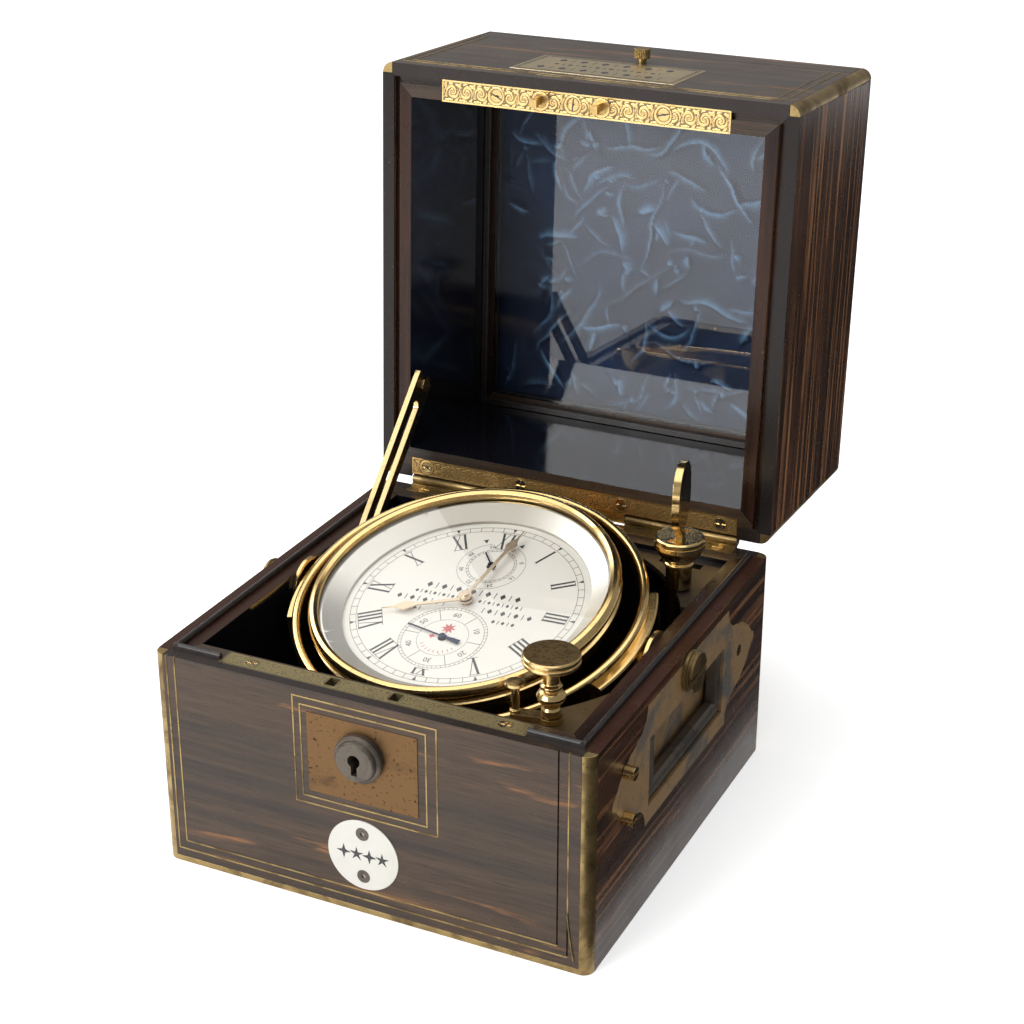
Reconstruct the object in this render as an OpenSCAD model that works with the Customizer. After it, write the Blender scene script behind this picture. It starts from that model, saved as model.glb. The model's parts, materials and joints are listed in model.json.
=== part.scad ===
// Two-day marine chronometer in its three-tier box, drawn with the case open.
// Millimetres, +X right, +Y back, +Z up; the origin is the middle of the underside.

/* [Case] */
// Width and depth of the square case
case_w = 180; // [179.5:0.5:181]
// Height of the bottom tier
base_h = 90.6; // [90:0.2:92]
// Height of the middle tier, which holds the glass
middle_h = 78.2; // [77:0.2:80]
// Height of the top lid
top_h = 14.9; // [14:0.1:18]
// Thickness of the case walls
wall_t = 13.4; // [13:0.1:13.6]
// Radius of the brass quarter-rounds on the corners
corner_r = 4.4; // [4:0.1:5.5]
// How far the upper case is folded back
lid_open = 92.83; // [0:0.01:92.83]

/* [Gimbals] */
// Height of the gimbal axes above the table
axis_z = 81; // [80:0.5:82]
// Tilt of the gimbal ring, back edge raised
ring_tilt = 15.4; // [-15:0.1:18]
// Roll of the bowl inside the ring
bowl_roll = -2.3; // [-15:0.1:15]
// Outer radius of the gimbal ring
ring_r = 70.4; // [70:0.1:70.8]
// Outer radius of the bowl
bowl_r = 56.5; // [56:0.1:57]
// Outer radius of the bezel
bezel_r = 62; // [61:0.1:62.5]

/* [Dial] */
// Radius of the visible dial
dial_r = 49.5; // [49:0.1:50]
// Height of the dial above the gimbal axes
dial_h = 10; // [9:0.1:11]
// Hour hand, clockwise from twelve
hour_angle = 246; // [0:1:359]
// Minute hand, clockwise from twelve
minute_angle = 8; // [0:1:359]

/* [Hidden] */
$fn = 64;
half = case_w / 2;
inner = half - wall_t;
rim_z = base_h;
seam_z = base_h + middle_h;
lid_z = seam_z + top_h;
floor_t = 7;
// Brass band along the foot of the front and back
foot_h = 2.4;
foot_t = 2;
// Hinge between base and middle tier
hinge_y = half + 1.6;
hinge_z = rim_z + 2.45;
knuckle_r = 2.2;
pin_r = 1;
leaf_x = 75.6;
knuckle_x = 25.6;
run_gap = 0.06;
// Hinge between middle tier and top lid
top_hinge_y = half + 1.9;
top_hinge_x = [-48, 48];
// Dust tongue and its groove
tongue_out = half - 5.6;
tongue_w = 2.2;
tongue_h = 2.2;
// Lock
plate_x0 = -63.7;
plate_x1 = 62;
plate_y0 = -half + 4.2;
plate_y1 = -half + 12.7;
lost_line_x = 77;
hook_x = [-19.2, 7];
hook_y = [-82.9, -79.7];
// Side handles
window_y = [-38, 39];
window_z = [42.5, 71.5];
pan_d = 6.4;
bail_axis = [87.2, 68.4];
peg_places = [[-61.5, 70.5], [-61.5, 51]];
// Corner decks and what stands on them
deck_r = 80.5;
rear_deck_z = 88.6;
front_deck_z = 84.6;
knob_at = [61.4, -62.4];
pin_at = [48.6, -65.3];
key_at = [65.8, 49.7];
key_cup_h = 20.2;
// Lid stay
stay_pivot = [48.6, 95.8];
stay_stud = [38, 79];
stay_x = -75.2;
stay_t = 2.4;
stay_len = 83.6;
stay_rest = lid_open * 0.8553;
// Gimbals
gimbal_x = -1;
bowl_shift = -1.3;
block_r = 73.6;
ring_bolt_h = 7;
// Movement, seen down the dial's own axis
seconds_y = -21.5;
reserve_y = 22.8;
third_at = [10.2, -13.9];
escape_at = [-10, -29.5];
balance_at = [-17.3, -23.4];
barrel_at = [-29.5, -3];

wood = [0.16, 0.10, 0.07];
ebony = [0.10, 0.09, 0.09];
brass = [0.78, 0.60, 0.30];
old_brass = [0.42, 0.35, 0.20];
bronze = [0.25, 0.19, 0.12];
silvered = [0.86, 0.85, 0.80];
steel = [0.35, 0.37, 0.42];

// ---- shapes that repeat ----

module ring_tube(r_out, r_in, h) {
    difference() {
        cylinder(r = r_out, h = h);
        translate([0, 0, -1]) cylinder(r = r_in, h = h + 2);
    }
}

module frame_tube(outer, inside, h) {
    difference() {
        translate([-outer, -outer, 0]) cube([2 * outer, 2 * outer, h]);
        translate([-inside, -inside, -1]) cube([2 * inside, 2 * inside, h + 2]);
    }
}

module at_corners() {
    for (sx = [-1, 1], sy = [-1, 1])
        translate([sx * half, sy * half, 0]) flip(sx, sy) children();
}

module flip(sx, sy) {
    mirror([sx < 0 ? 1 : 0, 0, 0]) mirror([0, sy < 0 ? 1 : 0, 0]) children();
}

// Square notch for one quarter-round, in the corner at the origin
module corner_notch(h) {
    translate([-corner_r, -corner_r, 0]) cube([corner_r + 1, corner_r + 1, h]);
}

module quarter_round(h) {
    intersection() {
        translate([-corner_r, -corner_r, 0]) cylinder(r = corner_r, h = h);
        translate([-corner_r, -corner_r, 0]) cube([corner_r, corner_r, h]);
    }
}

// Slotted screw whose flat head top is at the origin, shank down
module screw(head_r = 2.5, head_t = 1.2, shank = 6) {
    difference() {
        translate([0, 0, -head_t]) cylinder(r = head_r, h = head_t);
        translate([-head_r - 1, -0.35, -0.5]) cube([2 * head_r + 2, 0.7, 1]);
    }
    translate([0, 0, -head_t - shank]) cylinder(r = 1.1, h = shank);
}

module screw_bore(head_r = 2.5, head_t = 1.2, shank = 6) {
    translate([0, 0, -head_t]) cylinder(r = head_r, h = head_t + 5);
    translate([0, 0, -head_t - shank]) cylinder(r = 1.1, h = shank);
}

// Carries closed-case coordinates to where they are with the case open
module opened() {
    translate([0, hinge_y, hinge_z]) rotate([-lid_open, 0, 0])
        translate([0, -hinge_y, -hinge_z]) children();
}

module ring_frame() {
    translate([gimbal_x, 0, axis_z]) rotate([ring_tilt, 0, 0]) children();
}

module bowl_frame() {
    ring_frame() translate([bowl_shift, 0, ring_bolt_h]) rotate([0, bowl_roll, 0])
        translate([0, 0, -ring_bolt_h]) children();
}

module place(p, z = 0) {
    translate([p[0], p[1], z]) children();
}

// Crossed-out clock wheel with fine teeth
module clock_wheel(r, t, teeth, spokes = 4, hub = 2) {
    pitch = 360 / teeth;
    linear_extrude(t) difference() {
        polygon([for (i = [0 : teeth - 1], k = [0 : 3])
            let (a = i * pitch + k * pitch / 4, rr = k < 2 ? r : r - 0.8)
            [rr * cos(a), rr * sin(a)]]);
        difference() {
            circle(r = r - 2.2);
            circle(r = hub + 1.2);
            for (i = [0 : spokes - 1]) rotate(i * 360 / spokes)
                translate([0, -0.7]) square([r, 1.4]);
        }
    }
    cylinder(r = hub, h = t + 0.6);
}

module arbor(z0, z1, r = 0.9) {
    translate([0, 0, z0]) cylinder(r = r, h = z1 - z0);
}

// ---- bottom tier ----

// Plate with hollow corners, a stepped body and a pointed lobe at each end
module handle_outline() {
    body = [104, 51];
    corner_cut = 10.3;
    translate([1, 61]) {
        difference() {
            square(body, center = true);
            for (sx = [-1, 1], sy = [-1, 1]) translate([sx * body[0] / 2, sy * body[1] / 2])
                circle(r = corner_cut);
        }
        for (s = [-1, 1]) flip(s, 1) {
            polygon([[51, -14.6], [58, -13], [66, -8], [71.5, -2], [71.5, 2], [66, 8], [58, 13],
                [51, 14.6]]);
            translate([71, 0]) circle(r = 2.5);
        }
    }
}

module on_right_side(x) {
    translate([x, 0, 0]) rotate([90, 0, 90]) children();
}

module base_cuts() {
    for (s = [0, 1]) mirror([s, 0, 0]) {
        on_right_side(half - 1.6) linear_extrude(5) handle_outline();
        translate([half - pan_d - 1.5, window_y[0] - 1.5, window_z[0] - 1.5])
            cube([20, window_y[1] - window_y[0] + 3, window_z[1] - window_z[0] + 3]);
        translate([inner - 5, 0, axis_z]) rotate([0, 90, 0]) cylinder(r = 3.2, h = 30);
        translate([inner - 2, 0, axis_z]) rotate([0, 90, 0]) cylinder(r = 7.5, h = 4);
    }
    translate([plate_x0, plate_y0, rim_z - 2]) cube([plate_x1 - plate_x0, plate_y1 - plate_y0, 5]);
    translate([-33, -85, 64]) cube([58, 7.4, 40]);
    translate([-leaf_x, half - 6.5, rim_z - 1.2]) cube([2 * leaf_x, 10, 5]);
    translate([-23.8, -half - 1, 48.3]) cube([45.7, 2.2, 33.2]);
    translate([-1.5, -half - 1, 68]) rotate([-90, 0, 0]) cylinder(r = 3, h = 9);
    translate([-1.8, -half - 1, 25.9]) rotate([-90, 0, 0]) cylinder(r = 14.8, h = 2.4);
    front_lines(1, 1);
    base_screw_bores();
    for (s = [-1, 1]) flip(1, s) translate([-half - 1, half - foot_t, -1])
        cube([case_w + 2, foot_t + 1, foot_h + 1]);
}

module base_case() {
    color(wood) difference() {
        translate([-half, -half, 0]) cube([case_w, case_w, rim_z]);
        translate([-inner, -inner, -1]) cube([2 * inner, 2 * inner, rim_z + 2]);
        at_corners() translate([0, 0, -1]) corner_notch(rim_z + 2);
        base_cuts();
        // rebates that carry the two corner decks
        deck_blank(rear_deck_z - 2.4, 2.4, 1, inner + 2);
        deck_blank(front_deck_z - 2.4, 2.4, -1, inner + 2);
    }
}

module base_bottom() {
    color(ebony) translate([-inner, -inner, 1]) cube([2 * inner, 2 * inner, floor_t]);
}

module base_edge_strips() {
    color(old_brass) {
        at_corners() quarter_round(rim_z);
        for (s = [-1, 1]) flip(1, s) translate([-half + corner_r, half - foot_t, 0])
            cube([case_w - 2 * corner_r, foot_t, foot_h]);
    }
}

// Dust tongue on the front and sides, broken by the lock plate
module rim_tongue() {
    w = tongue_w;
    side_y = half - 7.2;
    color(ebony) {
        for (s = [-1, 1]) translate([s * (tongue_out - w / 2), 0, rim_z]) {
            translate([-w / 2, -tongue_out, 0]) cube([w, tongue_out + side_y, tongue_h - w / 2]);
            translate([0, side_y, tongue_h - w / 2]) rotate([90, 0, 0])
                cylinder(r = w / 2, h = tongue_out + side_y);
        }
        front_tongue(-tongue_out, plate_x0 - 0.3);
        front_tongue(plate_x1 + 0.3, tongue_out);
    }
}

module front_tongue(x0, x1) {
    w = tongue_w;
    translate([x0, -tongue_out, rim_z]) cube([x1 - x0, w, tongue_h - w / 2]);
    translate([x0, -tongue_out + w / 2, rim_z + tongue_h - w / 2]) rotate([0, 90, 0])
        cylinder(r = w / 2, h = x1 - x0);
}

// Brass lines let into the front: t is their thickness, over is how far they stand out
module front_lines(t, over = 0.15) {
    line = 0.6;
    y0 = -half - over;
    // two frames round the lock panel: left, right, bottom, top
    for (f = [[-29.8, 29.8, 42.2, 87.4], [-26.8, 25.5, 45.3, 84.3]])
        translate([f[0], y0, f[2]]) difference() {
            cube([f[1] - f[0], t + over, f[3] - f[2]]);
            translate([line, -1, line])
                cube([f[1] - f[0] - 2 * line, 9, f[3] - f[2] - 2 * line]);
        }
    // two lines down each side, joined along the bottom
    for (f = [[-84, 81, 6.2], [-80.5, lost_line_x, 10]]) {
        for (x = [f[0], f[1]]) translate([x - line / 2, y0, f[2]])
            cube([line, t + over, rim_z - f[2]]);
        translate([f[0], y0, f[2] - line / 2]) cube([f[1] - f[0], t + over, line]);
    }
}

// The brass of the inner right line is lost, and only its groove is left
module front_stringing() {
    color(brass) difference() {
        front_lines(1);
        translate([-half, -half - 1, rim_z]) cube([case_w, 10, 9]);
        translate([lost_line_x - 0.4, -half - 1, 10.4]) cube([0.8, 10, base_h]);
        // and the outer one has sprung out of its groove near the foot
        translate([80.6, -half - 1, 6.6]) cube([0.8, 10, 18]);
    }
}

module lock_panel() {
    color(bronze) difference() {
        translate([-23.8, -half - 0.3, 48.3]) cube([45.7, 1.5, 33.2]);
        translate([-1.5, -half - 2, 68]) rotate([-90, 0, 0]) cylinder(r = 3, h = 9);
    }
}

module keyhole_cover() {
    profile = [[0, 0], [9.7, 0], [9.7, 2.2], [9, 3], [8.4, 3], [8, 4.4], [7.4, 5], [0, 5.2]];
    color(bronze) translate([-1.5, -half - 0.3, 68]) rotate([90, 0, 0]) difference() {
        rotate_extrude() polygon(profile);
        translate([0, 0.8, -1]) cylinder(r = 2.5, h = 9);
        translate([-1.2, -5.2, -1]) cube([2.4, 5.4, 9]);
    }
}

module number_disc() {
    color(silvered) translate([-1.8, -half + 1.2, 25.9]) rotate([90, 0, 0]) difference() {
        cylinder(r = 14.8, h = 1.6);
        for (s = [-1, 1]) translate([0, s * 9.2, 0.8]) cylinder(r = 1.9, h = 2);
    }
}

module box_lock() {
    color(brass) difference() {
        union() {
            translate([plate_x0, plate_y0, rim_z - 2])
                cube([plate_x1 - plate_x0, plate_y1 - plate_y0, 2]);
            translate([-33, -85, 64]) cube([58, 7.4, rim_z - 66]);
        }
        translate([-31.8, -83.8, 65.2]) cube([55.6, 5, 22.4]);
        for (x = hook_x) translate([x - 0.4, -83.6, rim_z - 5]) cube([4, 5.3, 10]);
        translate([-1.5, -half, 68]) rotate([-90, 0, 0]) cylinder(r = 2.8, h = 8);
        lock_plate_screws() screw_bore();
    }
}

// Slides left under the noses of the hooks
module lock_bolt() {
    color(brass) difference() {
        translate([-29, -83.4, 84.6]) cube([50, 4.2, 2.4]);
        for (x = hook_x) translate([x - 0.7, -83.1, 80]) cube([4.6, 3.6, 10]);
    }
}

module base_hinge_leaf() {
    color(old_brass) difference() {
        union() {
            translate([-leaf_x, half - 6.5, rim_z - 1.2]) cube([2 * leaf_x, 6.5, 1.3]);
            for (s = [-1, 1]) flip(s, 1) {
                knuckle(knuckle_x + 0.15, leaf_x);
                translate([knuckle_x + 0.15, half - 1, rim_z - 0.6])
                    cube([leaf_x - knuckle_x - 0.15, 2.2, 1.6]);
            }
        }
        hinge_bore(pin_r);
        base_leaf_screws() screw_bore();
    }
}

module knuckle(x0, x1, r = knuckle_r) {
    translate([x0, hinge_y, hinge_z]) rotate([0, 90, 0]) cylinder(r = r, h = x1 - x0);
}

module hinge_bore(r) {
    knuckle(-half, half, r);
}

module base_leaf_screws() {
    for (x = [-68.4, -23.1, 23.8, 68.3]) translate([x, half - 3.4, rim_z + 0.1]) children();
}

module lock_plate_screws() {
    for (x = [-52, 52]) translate([x, -half + 8.4, rim_z]) children();
}

module side_screws() {
    for (s = [0, 1]) mirror([s, 0, 0]) translate([half, 0, 0]) children();
}

module base_screw_bores() {
    base_leaf_screws() screw_bore();
    lock_plate_screws() screw_bore();
    side_screws() {
        for (p = peg_places) translate([0, p[0], p[1]]) rotate([0, 90, 0]) peg_bore();
        translate([0.1, 57, 62]) rotate([0, 90, 0]) screw_bore();
    }
    translate([-inner - 6, stay_stud[0], stay_stud[1]]) rotate([0, 90, 0]) cylinder(r = 1.6, h = 12);
}

module peg_bore() {
    translate([0, 0, -8]) cylinder(r = 1.8, h = 12);
}

module base_screws() {
    color(brass) {
        base_leaf_screws() screw();
        lock_plate_screws() screw();
        side_screws() {
            // tall-headed screws at the front end of each plate
            for (p = peg_places) translate([0, p[0], p[1]]) rotate([0, 90, 0]) {
                translate([0, 0, -8]) cylinder(r = 1.8, h = 9);
                difference() {
                    translate([0, 0, 0.1]) cylinder(r = 2.7, h = 4.2);
                    translate([-0.4, -4, 3.2]) cube([0.8, 8, 3]);
                }
            }
            translate([0.1, 57, 62]) rotate([0, 90, 0]) screw();
        }
        // low stud on the left wall for the stay
        translate([-inner - 6, stay_stud[0], stay_stud[1]]) rotate([0, 90, 0])
            cylinder(r = 1.6, h = 6);
        translate([-inner, stay_stud[0], stay_stud[1]]) rotate([0, 90, 0])
            cylinder(r = 3.4, h = 1);
    }
}

module handle_plate() {
    wy = window_y[1] - window_y[0];
    wz = window_z[1] - window_z[0];
    color(old_brass) difference() {
        union() {
            on_right_side(half - 1.6) linear_extrude(1.7) handle_outline();
            translate([half - pan_d - 1.5, window_y[0] - 1.5, window_z[0] - 1.5])
                cube([pan_d, wy + 3, wz + 3]);
        }
        translate([half - pan_d, window_y[0], window_z[0]]) cube([20, wy, wz]);
        translate([bail_axis[0], -half, bail_axis[1]]) rotate([-90, 0, 0])
            cylinder(r = 0.9 + run_gap, h = 2 * half);
        translate([inner, 0, axis_z]) rotate([0, 90, 0]) cylinder(r = 3.2, h = 30);
        for (p = peg_places) translate([half, p[0], p[1]]) rotate([0, 90, 0]) peg_bore();
        translate([half + 0.1, 57, 62]) rotate([0, 90, 0]) screw_bore();
    }
}

module handle_plate_right() {
    handle_plate();
}

module handle_plate_left() {
    mirror([1, 0, 0]) handle_plate();
}

// Flat moulded drop handle hanging in its recess
module bail() {
    y0 = window_y[0] + 1.5;
    y1 = window_y[1] - 1.5;
    arm_w = 5;
    low_z = window_z[0] + 0.7;
    x = bail_axis[0];
    // section of the grip: outward, up
    grip = [[-1.8, 0], [1.2, 0], [2.2, 1], [2.2, 2], [1.2, 2.8], [2.2, 3.8], [2.2, 5.6],
        [1.2, 6.8], [-1.8, 6.8]];
    color(bronze) {
        translate([x, y1, low_z]) rotate([90, 0, 0]) linear_extrude(y1 - y0) polygon(grip);
        for (y = [y0, y1 - arm_w]) translate([x, y, 0]) {
            translate([-1.8, 0, low_z + 6]) cube([3.8, arm_w, bail_axis[1] - low_z - 6]);
            translate([0, 0, bail_axis[1]]) rotate([-90, 0, 0]) cylinder(r = 2.1, h = arm_w);
        }
        for (y = [window_y[0] - 0.8, y1 - 0.1]) translate([x, y, bail_axis[1]])
            rotate([-90, 0, 0]) cylinder(r = 0.9, h = 2.4);
    }
}

module bail_right() {
    bail();
}

module bail_left() {
    mirror([1, 0, 0]) bail();
}

// Knob-headed screws that carry the gimbal ring
module gimbal_screws() {
    color(old_brass) for (s = [0, 1]) mirror([s, 0, 0]) difference() {
        union() {
            tip_x = block_r - 2.2 + (s == 0 ? gimbal_x : -gimbal_x);
            translate([half + 0.1, 0, axis_z]) rotate([0, 90, 0]) rotate_extrude()
                polygon([[0, 0], [8.2, 0], [8.2, 1.4], [7.5, 1.8], [7.5, 2.6], [8.2, 3.0],
                    [7.8, 4.2], [0, 4.4]]);
            translate([tip_x + 2.6, 0, axis_z]) rotate([0, 90, 0])
                cylinder(r = 3.1, h = half - tip_x - 2.5);
            translate([tip_x, 0, axis_z]) rotate([0, 90, 0]) cylinder(r = 1.6, h = 3);
        }
        translate([half + 3.4, -12, axis_z - 0.6]) cube([5, 24, 1.2]);
    }
}

module gimbal_bushes() {
    color(brass) for (s = [0, 1]) mirror([s, 0, 0]) translate([inner, 0, axis_z])
        rotate([0, 90, 0]) difference() {
            rotate_extrude() polygon([[0, -1.2], [4.6, -1.2], [5.2, -0.7], [9.6, -0.7], [11, -1.6],
                [12.4, -1.6], [12.4, -0.1], [7.4, -0.1], [7.4, 1.9], [0, 1.9]]);
            translate([0, 0, -5]) cylinder(r = 3.15, h = 20);
        }
}

module deck_blank(z, t, side, reach) {
    lo = 34;
    difference() {
        translate([lo, side > 0 ? lo : -reach, z]) cube([reach - lo, reach - lo, t]);
        translate([0, 0, z - 1]) cylinder(r = deck_r, h = t + 2);
        // the lock plate and the rear hinge keep their own room
        translate([lo - 1, side > 0 ? inner : -reach - 1, z - 1]) cube([30, reach - inner + 1, t + 2]);
    }
}

module rear_deck() {
    color(ebony) difference() {
        deck_blank(rear_deck_z - 2.4, 2.4, 1, inner + 2);
        place(key_at, 0) cylinder(r = 3.8 + run_gap, h = 200);
        // slot behind the key
        translate([50, 68, 80]) cube([18, 4.4, 20]);
    }
}

module front_deck() {
    color(old_brass) difference() {
        deck_blank(front_deck_z - 2.4, 2.4, -1, inner + 2);
        place(knob_at, 0) cylinder(r = 3 + run_gap, h = 200);
    }
}

// ---- gimbal lock and winding key ----

module gimbal_lock_knob() {
    color(brass) place(knob_at, front_deck_z) rotate_extrude() polygon([[0, -8], [3, -8],
        [3, 2.4], [3.6, 2.4], [3.6, 5], [2.9, 6], [3.2, 7], [4.4, 8], [5.4, 9.6], [5.4, 10.6],
        [4.4, 12.2], [3.2, 13], [4.0, 13.6], [4.0, 14.6], [2.9, 15.4], [2.9, 23], [9.8, 23],
        [10.6, 23.8], [10.6, 24.8], [10.0, 25.2], [10.6, 25.6], [10.6, 26.8], [10.0, 27.4],
        [0, 27.4]]);
}

module gimbal_lock_lever() {
    dx = pin_at[0] - knob_at[0];
    dy = pin_at[1] - knob_at[1];
    reach = norm([dx, dy]);
    color(brass) place(knob_at, front_deck_z + 0.2) rotate(atan2(dy, dx)) {
        difference() {
            union() {
                cylinder(r = 4.6, h = 1.9);
                translate([0, -2.6, 0]) cube([reach + 1.4, 5.2, 1.9]);
            }
            translate([0, 0, -1]) cylinder(r = 3 + run_gap, h = 9);
        }
        // mushroom-headed finger pin
        translate([reach, 0, 1.8]) rotate_extrude() polygon([[0, 0], [2.1, 0], [2.1, 1],
            [1.6, 1.6], [1.6, 10], [2.4, 10.6], [3.8, 11.2], [3.6, 12.2], [2.2, 12.9], [0, 13]]);
    }
}

// Key stem and its ratchet cup; the square hole takes the winding square
module key_barrel() {
    color(brass) place(key_at, rear_deck_z) difference() {
        rotate_extrude() polygon([[0, -26], [3.8, -26], [3.8, 0.2], [5.2, 0.8], [5.2, 9.6],
            [6.2, 10.4], [6.2, 11.4], [5.6, 12], [5.6, 12.8], [7.4, 13.8], [8.6, 15.4],
            [9.3, 17.6], [10.1, 18.2], [10.1, key_cup_h], [0, key_cup_h]]);
        translate([-1.6, -1.6, -27]) cube([3.2, 3.2, 18]);
    }
}

// Solid flat thumb piece on a disc with two small screws
module key_handle() {
    color(brass) place(key_at, rear_deck_z + key_cup_h + 0.1) {
        difference() {
            rotate_extrude() polygon([[0, 0], [9.8, 0], [9.8, 1.6], [9.2, 2.2], [0, 2.2]]);
            for (s = [-1, 1]) rotate(-10) translate([0, s * 6, 1.2]) cylinder(r = 1.3, h = 3);
        }
        rotate(100) translate([0, 1.5, 0]) rotate([90, 0, 0]) linear_extrude(3) {
            translate([-3, 1]) square([6, 10]);
            translate([0, 22]) circle(r = 11.6);
            translate([0, 17]) circle(r = 12);
            polygon([[-3, 4], [3, 4], [10, 10.5], [-10, 10.5]]);
        }
    }
}

// ---- middle tier, written in closed-case coordinates ----

module middle_case() {
    glass_z = seam_z - 4.4;
    color(wood) opened() difference() {
        translate([-half, -half, rim_z]) cube([case_w, case_w, middle_h]);
        translate([-inner, -inner, rim_z - 1]) cube([2 * inner, 2 * inner, middle_h - 5.4]);
        translate([-inner + 5, -inner + 5, rim_z - 1]) cube([2 * inner - 10, 2 * inner - 10, 99]);
        translate([-inner - 2, -inner - 2, glass_z - 0.6]) cube([2 * inner + 4, 2 * inner + 4, 9]);
        at_corners() translate([0, 0, rim_z - 1]) corner_notch(middle_h + 2);
        tongue_groove();
        hinge_bore(knuckle_r + 0.5);
        translate([-leaf_x, half - 9, rim_z - 2]) cube([2 * leaf_x, 12, 3.3]);
        translate([-62.5, -half + 4.8, rim_z - 3]) cube([124.8, 9, 4.6]);
        translate([-39.3, -half - 1, rim_z + 14.5]) cube([72.1, 2.2, 35.5]);
        button_bore(2.05);
        middle_screw_bores();
        stay_screw_bore();
    }
}

module tongue_groove() {
    gap = 0.25;
    w = tongue_w + 2 * gap;
    y1 = half - 5.4;
    for (s = [-1, 1]) translate([s * (tongue_out - tongue_w / 2) - w / 2, -tongue_out - gap, rim_z - 1])
        cube([w, tongue_out + y1, 1 + tongue_h + 0.6]);
    translate([-tongue_out - gap, -tongue_out - gap, rim_z - 1])
        cube([2 * tongue_out + 2 * gap, w, 1 + tongue_h + 0.6]);
}

module button_bore(r) {
    translate([2.8, -half - 5, rim_z + 54]) rotate([-90, 0, 0]) cylinder(r = r, h = 40);
}

module stay_screw_bore() {
    translate([-half + 4, stay_pivot[0], stay_pivot[1]]) rotate([0, 90, 0]) cylinder(r = 1.5, h = 14);
}

module middle_screw_bores() {
    link_screws() screw_bore();
    leaf_screws() screw_bore();
}

module link_screws() {
    for (x = [-37.9, -4, 34.5]) translate([x, -half + 9.2, rim_z + 0.2]) mirror([0, 0, 1]) children();
}

module leaf_screws() {
    for (x = [-68.4, -23.1, 23.8, 68.3]) translate([x, half - 5.4, rim_z + 0.2])
        mirror([0, 0, 1]) children();
}

module middle_glass() {
    color([0.7, 0.8, 0.85, 0.4]) opened()
        translate([-inner - 1.6, -inner - 1.6, seam_z - 4.9])
            cube([2 * inner + 3.2, 2 * inner + 3.2, 2.2]);
}

// Two-step moulding that holds the glass down
module glass_moulding() {
    color(ebony) opened() {
        translate([0, 0, seam_z - 2.6]) frame_tube(inner + 1.8, inner - 5, 2.2);
        translate([0, 0, seam_z - 9.4]) frame_tube(inner - 0.1, inner - 3, 2.8);
    }
}

module middle_corner_strips() {
    color(old_brass) opened() at_corners() translate([0, 0, rim_z + 0.05])
        quarter_round(middle_h - 0.1);
}

module name_plaque() {
    color(old_brass) opened() translate([-39.3, -half - 0.15, rim_z + 14.5])
        cube([72.1, 1.35, 35.5]);
}

// Knurled push that frees the top lid
module release_button() {
    ribs = 28;
    color(old_brass) opened() translate([2.8, -half - 6, rim_z + 54]) rotate([-90, 0, 0]) {
        linear_extrude(4) polygon([for (i = [0 : ribs - 1], k = [0, 1])
            let (a = (i + k / 2) * 360 / ribs, r = 3.5 - 0.3 * k) [r * cos(a), r * sin(a)]]);
        cylinder(r = 2, h = 21);
        translate([0, 0, 19.6]) cylinder(r = 4, h = 1.4);
    }
}

// Plate with the two hooks that drop into the box lock
module link_plate() {
    color(brass) opened() {
        difference() {
            translate([-62.5, -half + 4.8, rim_z + 0.2]) cube([124.8, 9, 1.4]);
            link_screws() screw_bore();
        }
        for (x = hook_x) translate([x, hook_y[0], rim_z - 8.6]) {
            cube([1.6, hook_y[1] - hook_y[0], 9]);
            cube([3.1, hook_y[1] - hook_y[0], 2.2]);
        }
    }
}

module middle_hinge_leaf() {
    color(old_brass) opened() difference() {
        union() {
            translate([-leaf_x, half - 9, rim_z + 0.2]) cube([2 * leaf_x, 7.6, 1.1]);
            knuckle(-knuckle_x, knuckle_x);
            translate([-knuckle_x, half - 3, rim_z + 0.5]) cube([2 * knuckle_x, 4.2, 0.8]);
        }
        hinge_bore(pin_r + run_gap);
        leaf_screws() screw_bore();
    }
}

module hinge_pin() {
    color(steel) translate([-leaf_x, hinge_y, hinge_z]) rotate([0, 90, 0])
        cylinder(r = pin_r, h = 2 * leaf_x);
}

module middle_screws() {
    head_x = stay_x + stay_t + half - 3.9;
    color(brass) opened() {
        link_screws() screw();
        leaf_screws() screw(shank = 5);
        // shouldered screw the stay swings on
        translate([-half + 4, stay_pivot[0], stay_pivot[1]]) rotate([0, 90, 0]) difference() {
            union() {
                cylinder(r = 1.5, h = head_x + 0.5);
                translate([0, 0, head_x]) cylinder(r = 3.4, h = 1.4);
            }
            translate([-4, -0.4, head_x + 0.8]) cube([8, 0.8, 2]);
        }
    }
}

// Slotted stay; it hangs on the upper case and rides past the low stud in the base
module stay_arm() {
    w = 14.2;
    slot_w = 5.2;
    dy = stay_stud[0] - stay_pivot[0];
    dz = stay_stud[1] - stay_pivot[1];
    color(brass) opened() translate([stay_x, stay_pivot[0], stay_pivot[1]])
        rotate([stay_rest, 0, 0]) rotate([atan2(dz, dy), 0, 0]) rotate([90, 0, 90])
        linear_extrude(stay_t) difference() {
            union() {
                translate([-3.2, -w / 2]) square([stay_len + 3.2, w]);
                translate([stay_len, 0]) circle(d = w);
            }
            circle(r = 1.5 + run_gap);
            translate([11, -slot_w / 2]) square([stay_len - 11, slot_w]);
            for (end = [11, stay_len]) translate([end, 0]) circle(d = slot_w);
        }
}

module butt_knuckles(xs, z = seam_z) {
    for (c = top_hinge_x, x = xs)
        translate([c + x[0], top_hinge_y, z]) rotate([0, 90, 0]) cylinder(r = 1.8, h = x[1] - x[0]);
}

// Lower leaves of the two rear butts, with their pins
module top_hinge_lower() {
    color(brass) opened() {
        difference() {
            union() {
                for (c = top_hinge_x) translate([c - 12, half, seam_z - 10]) cube([24, 1.1, 9.8]);
                butt_knuckles([[-12, -5], [5, 12]]);
            }
            butt_knuckle_room();
        }
        for (c = top_hinge_x) translate([c - 12, top_hinge_y, seam_z]) rotate([0, 90, 0])
            cylinder(r = 0.8, h = 24);
    }
}

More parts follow.
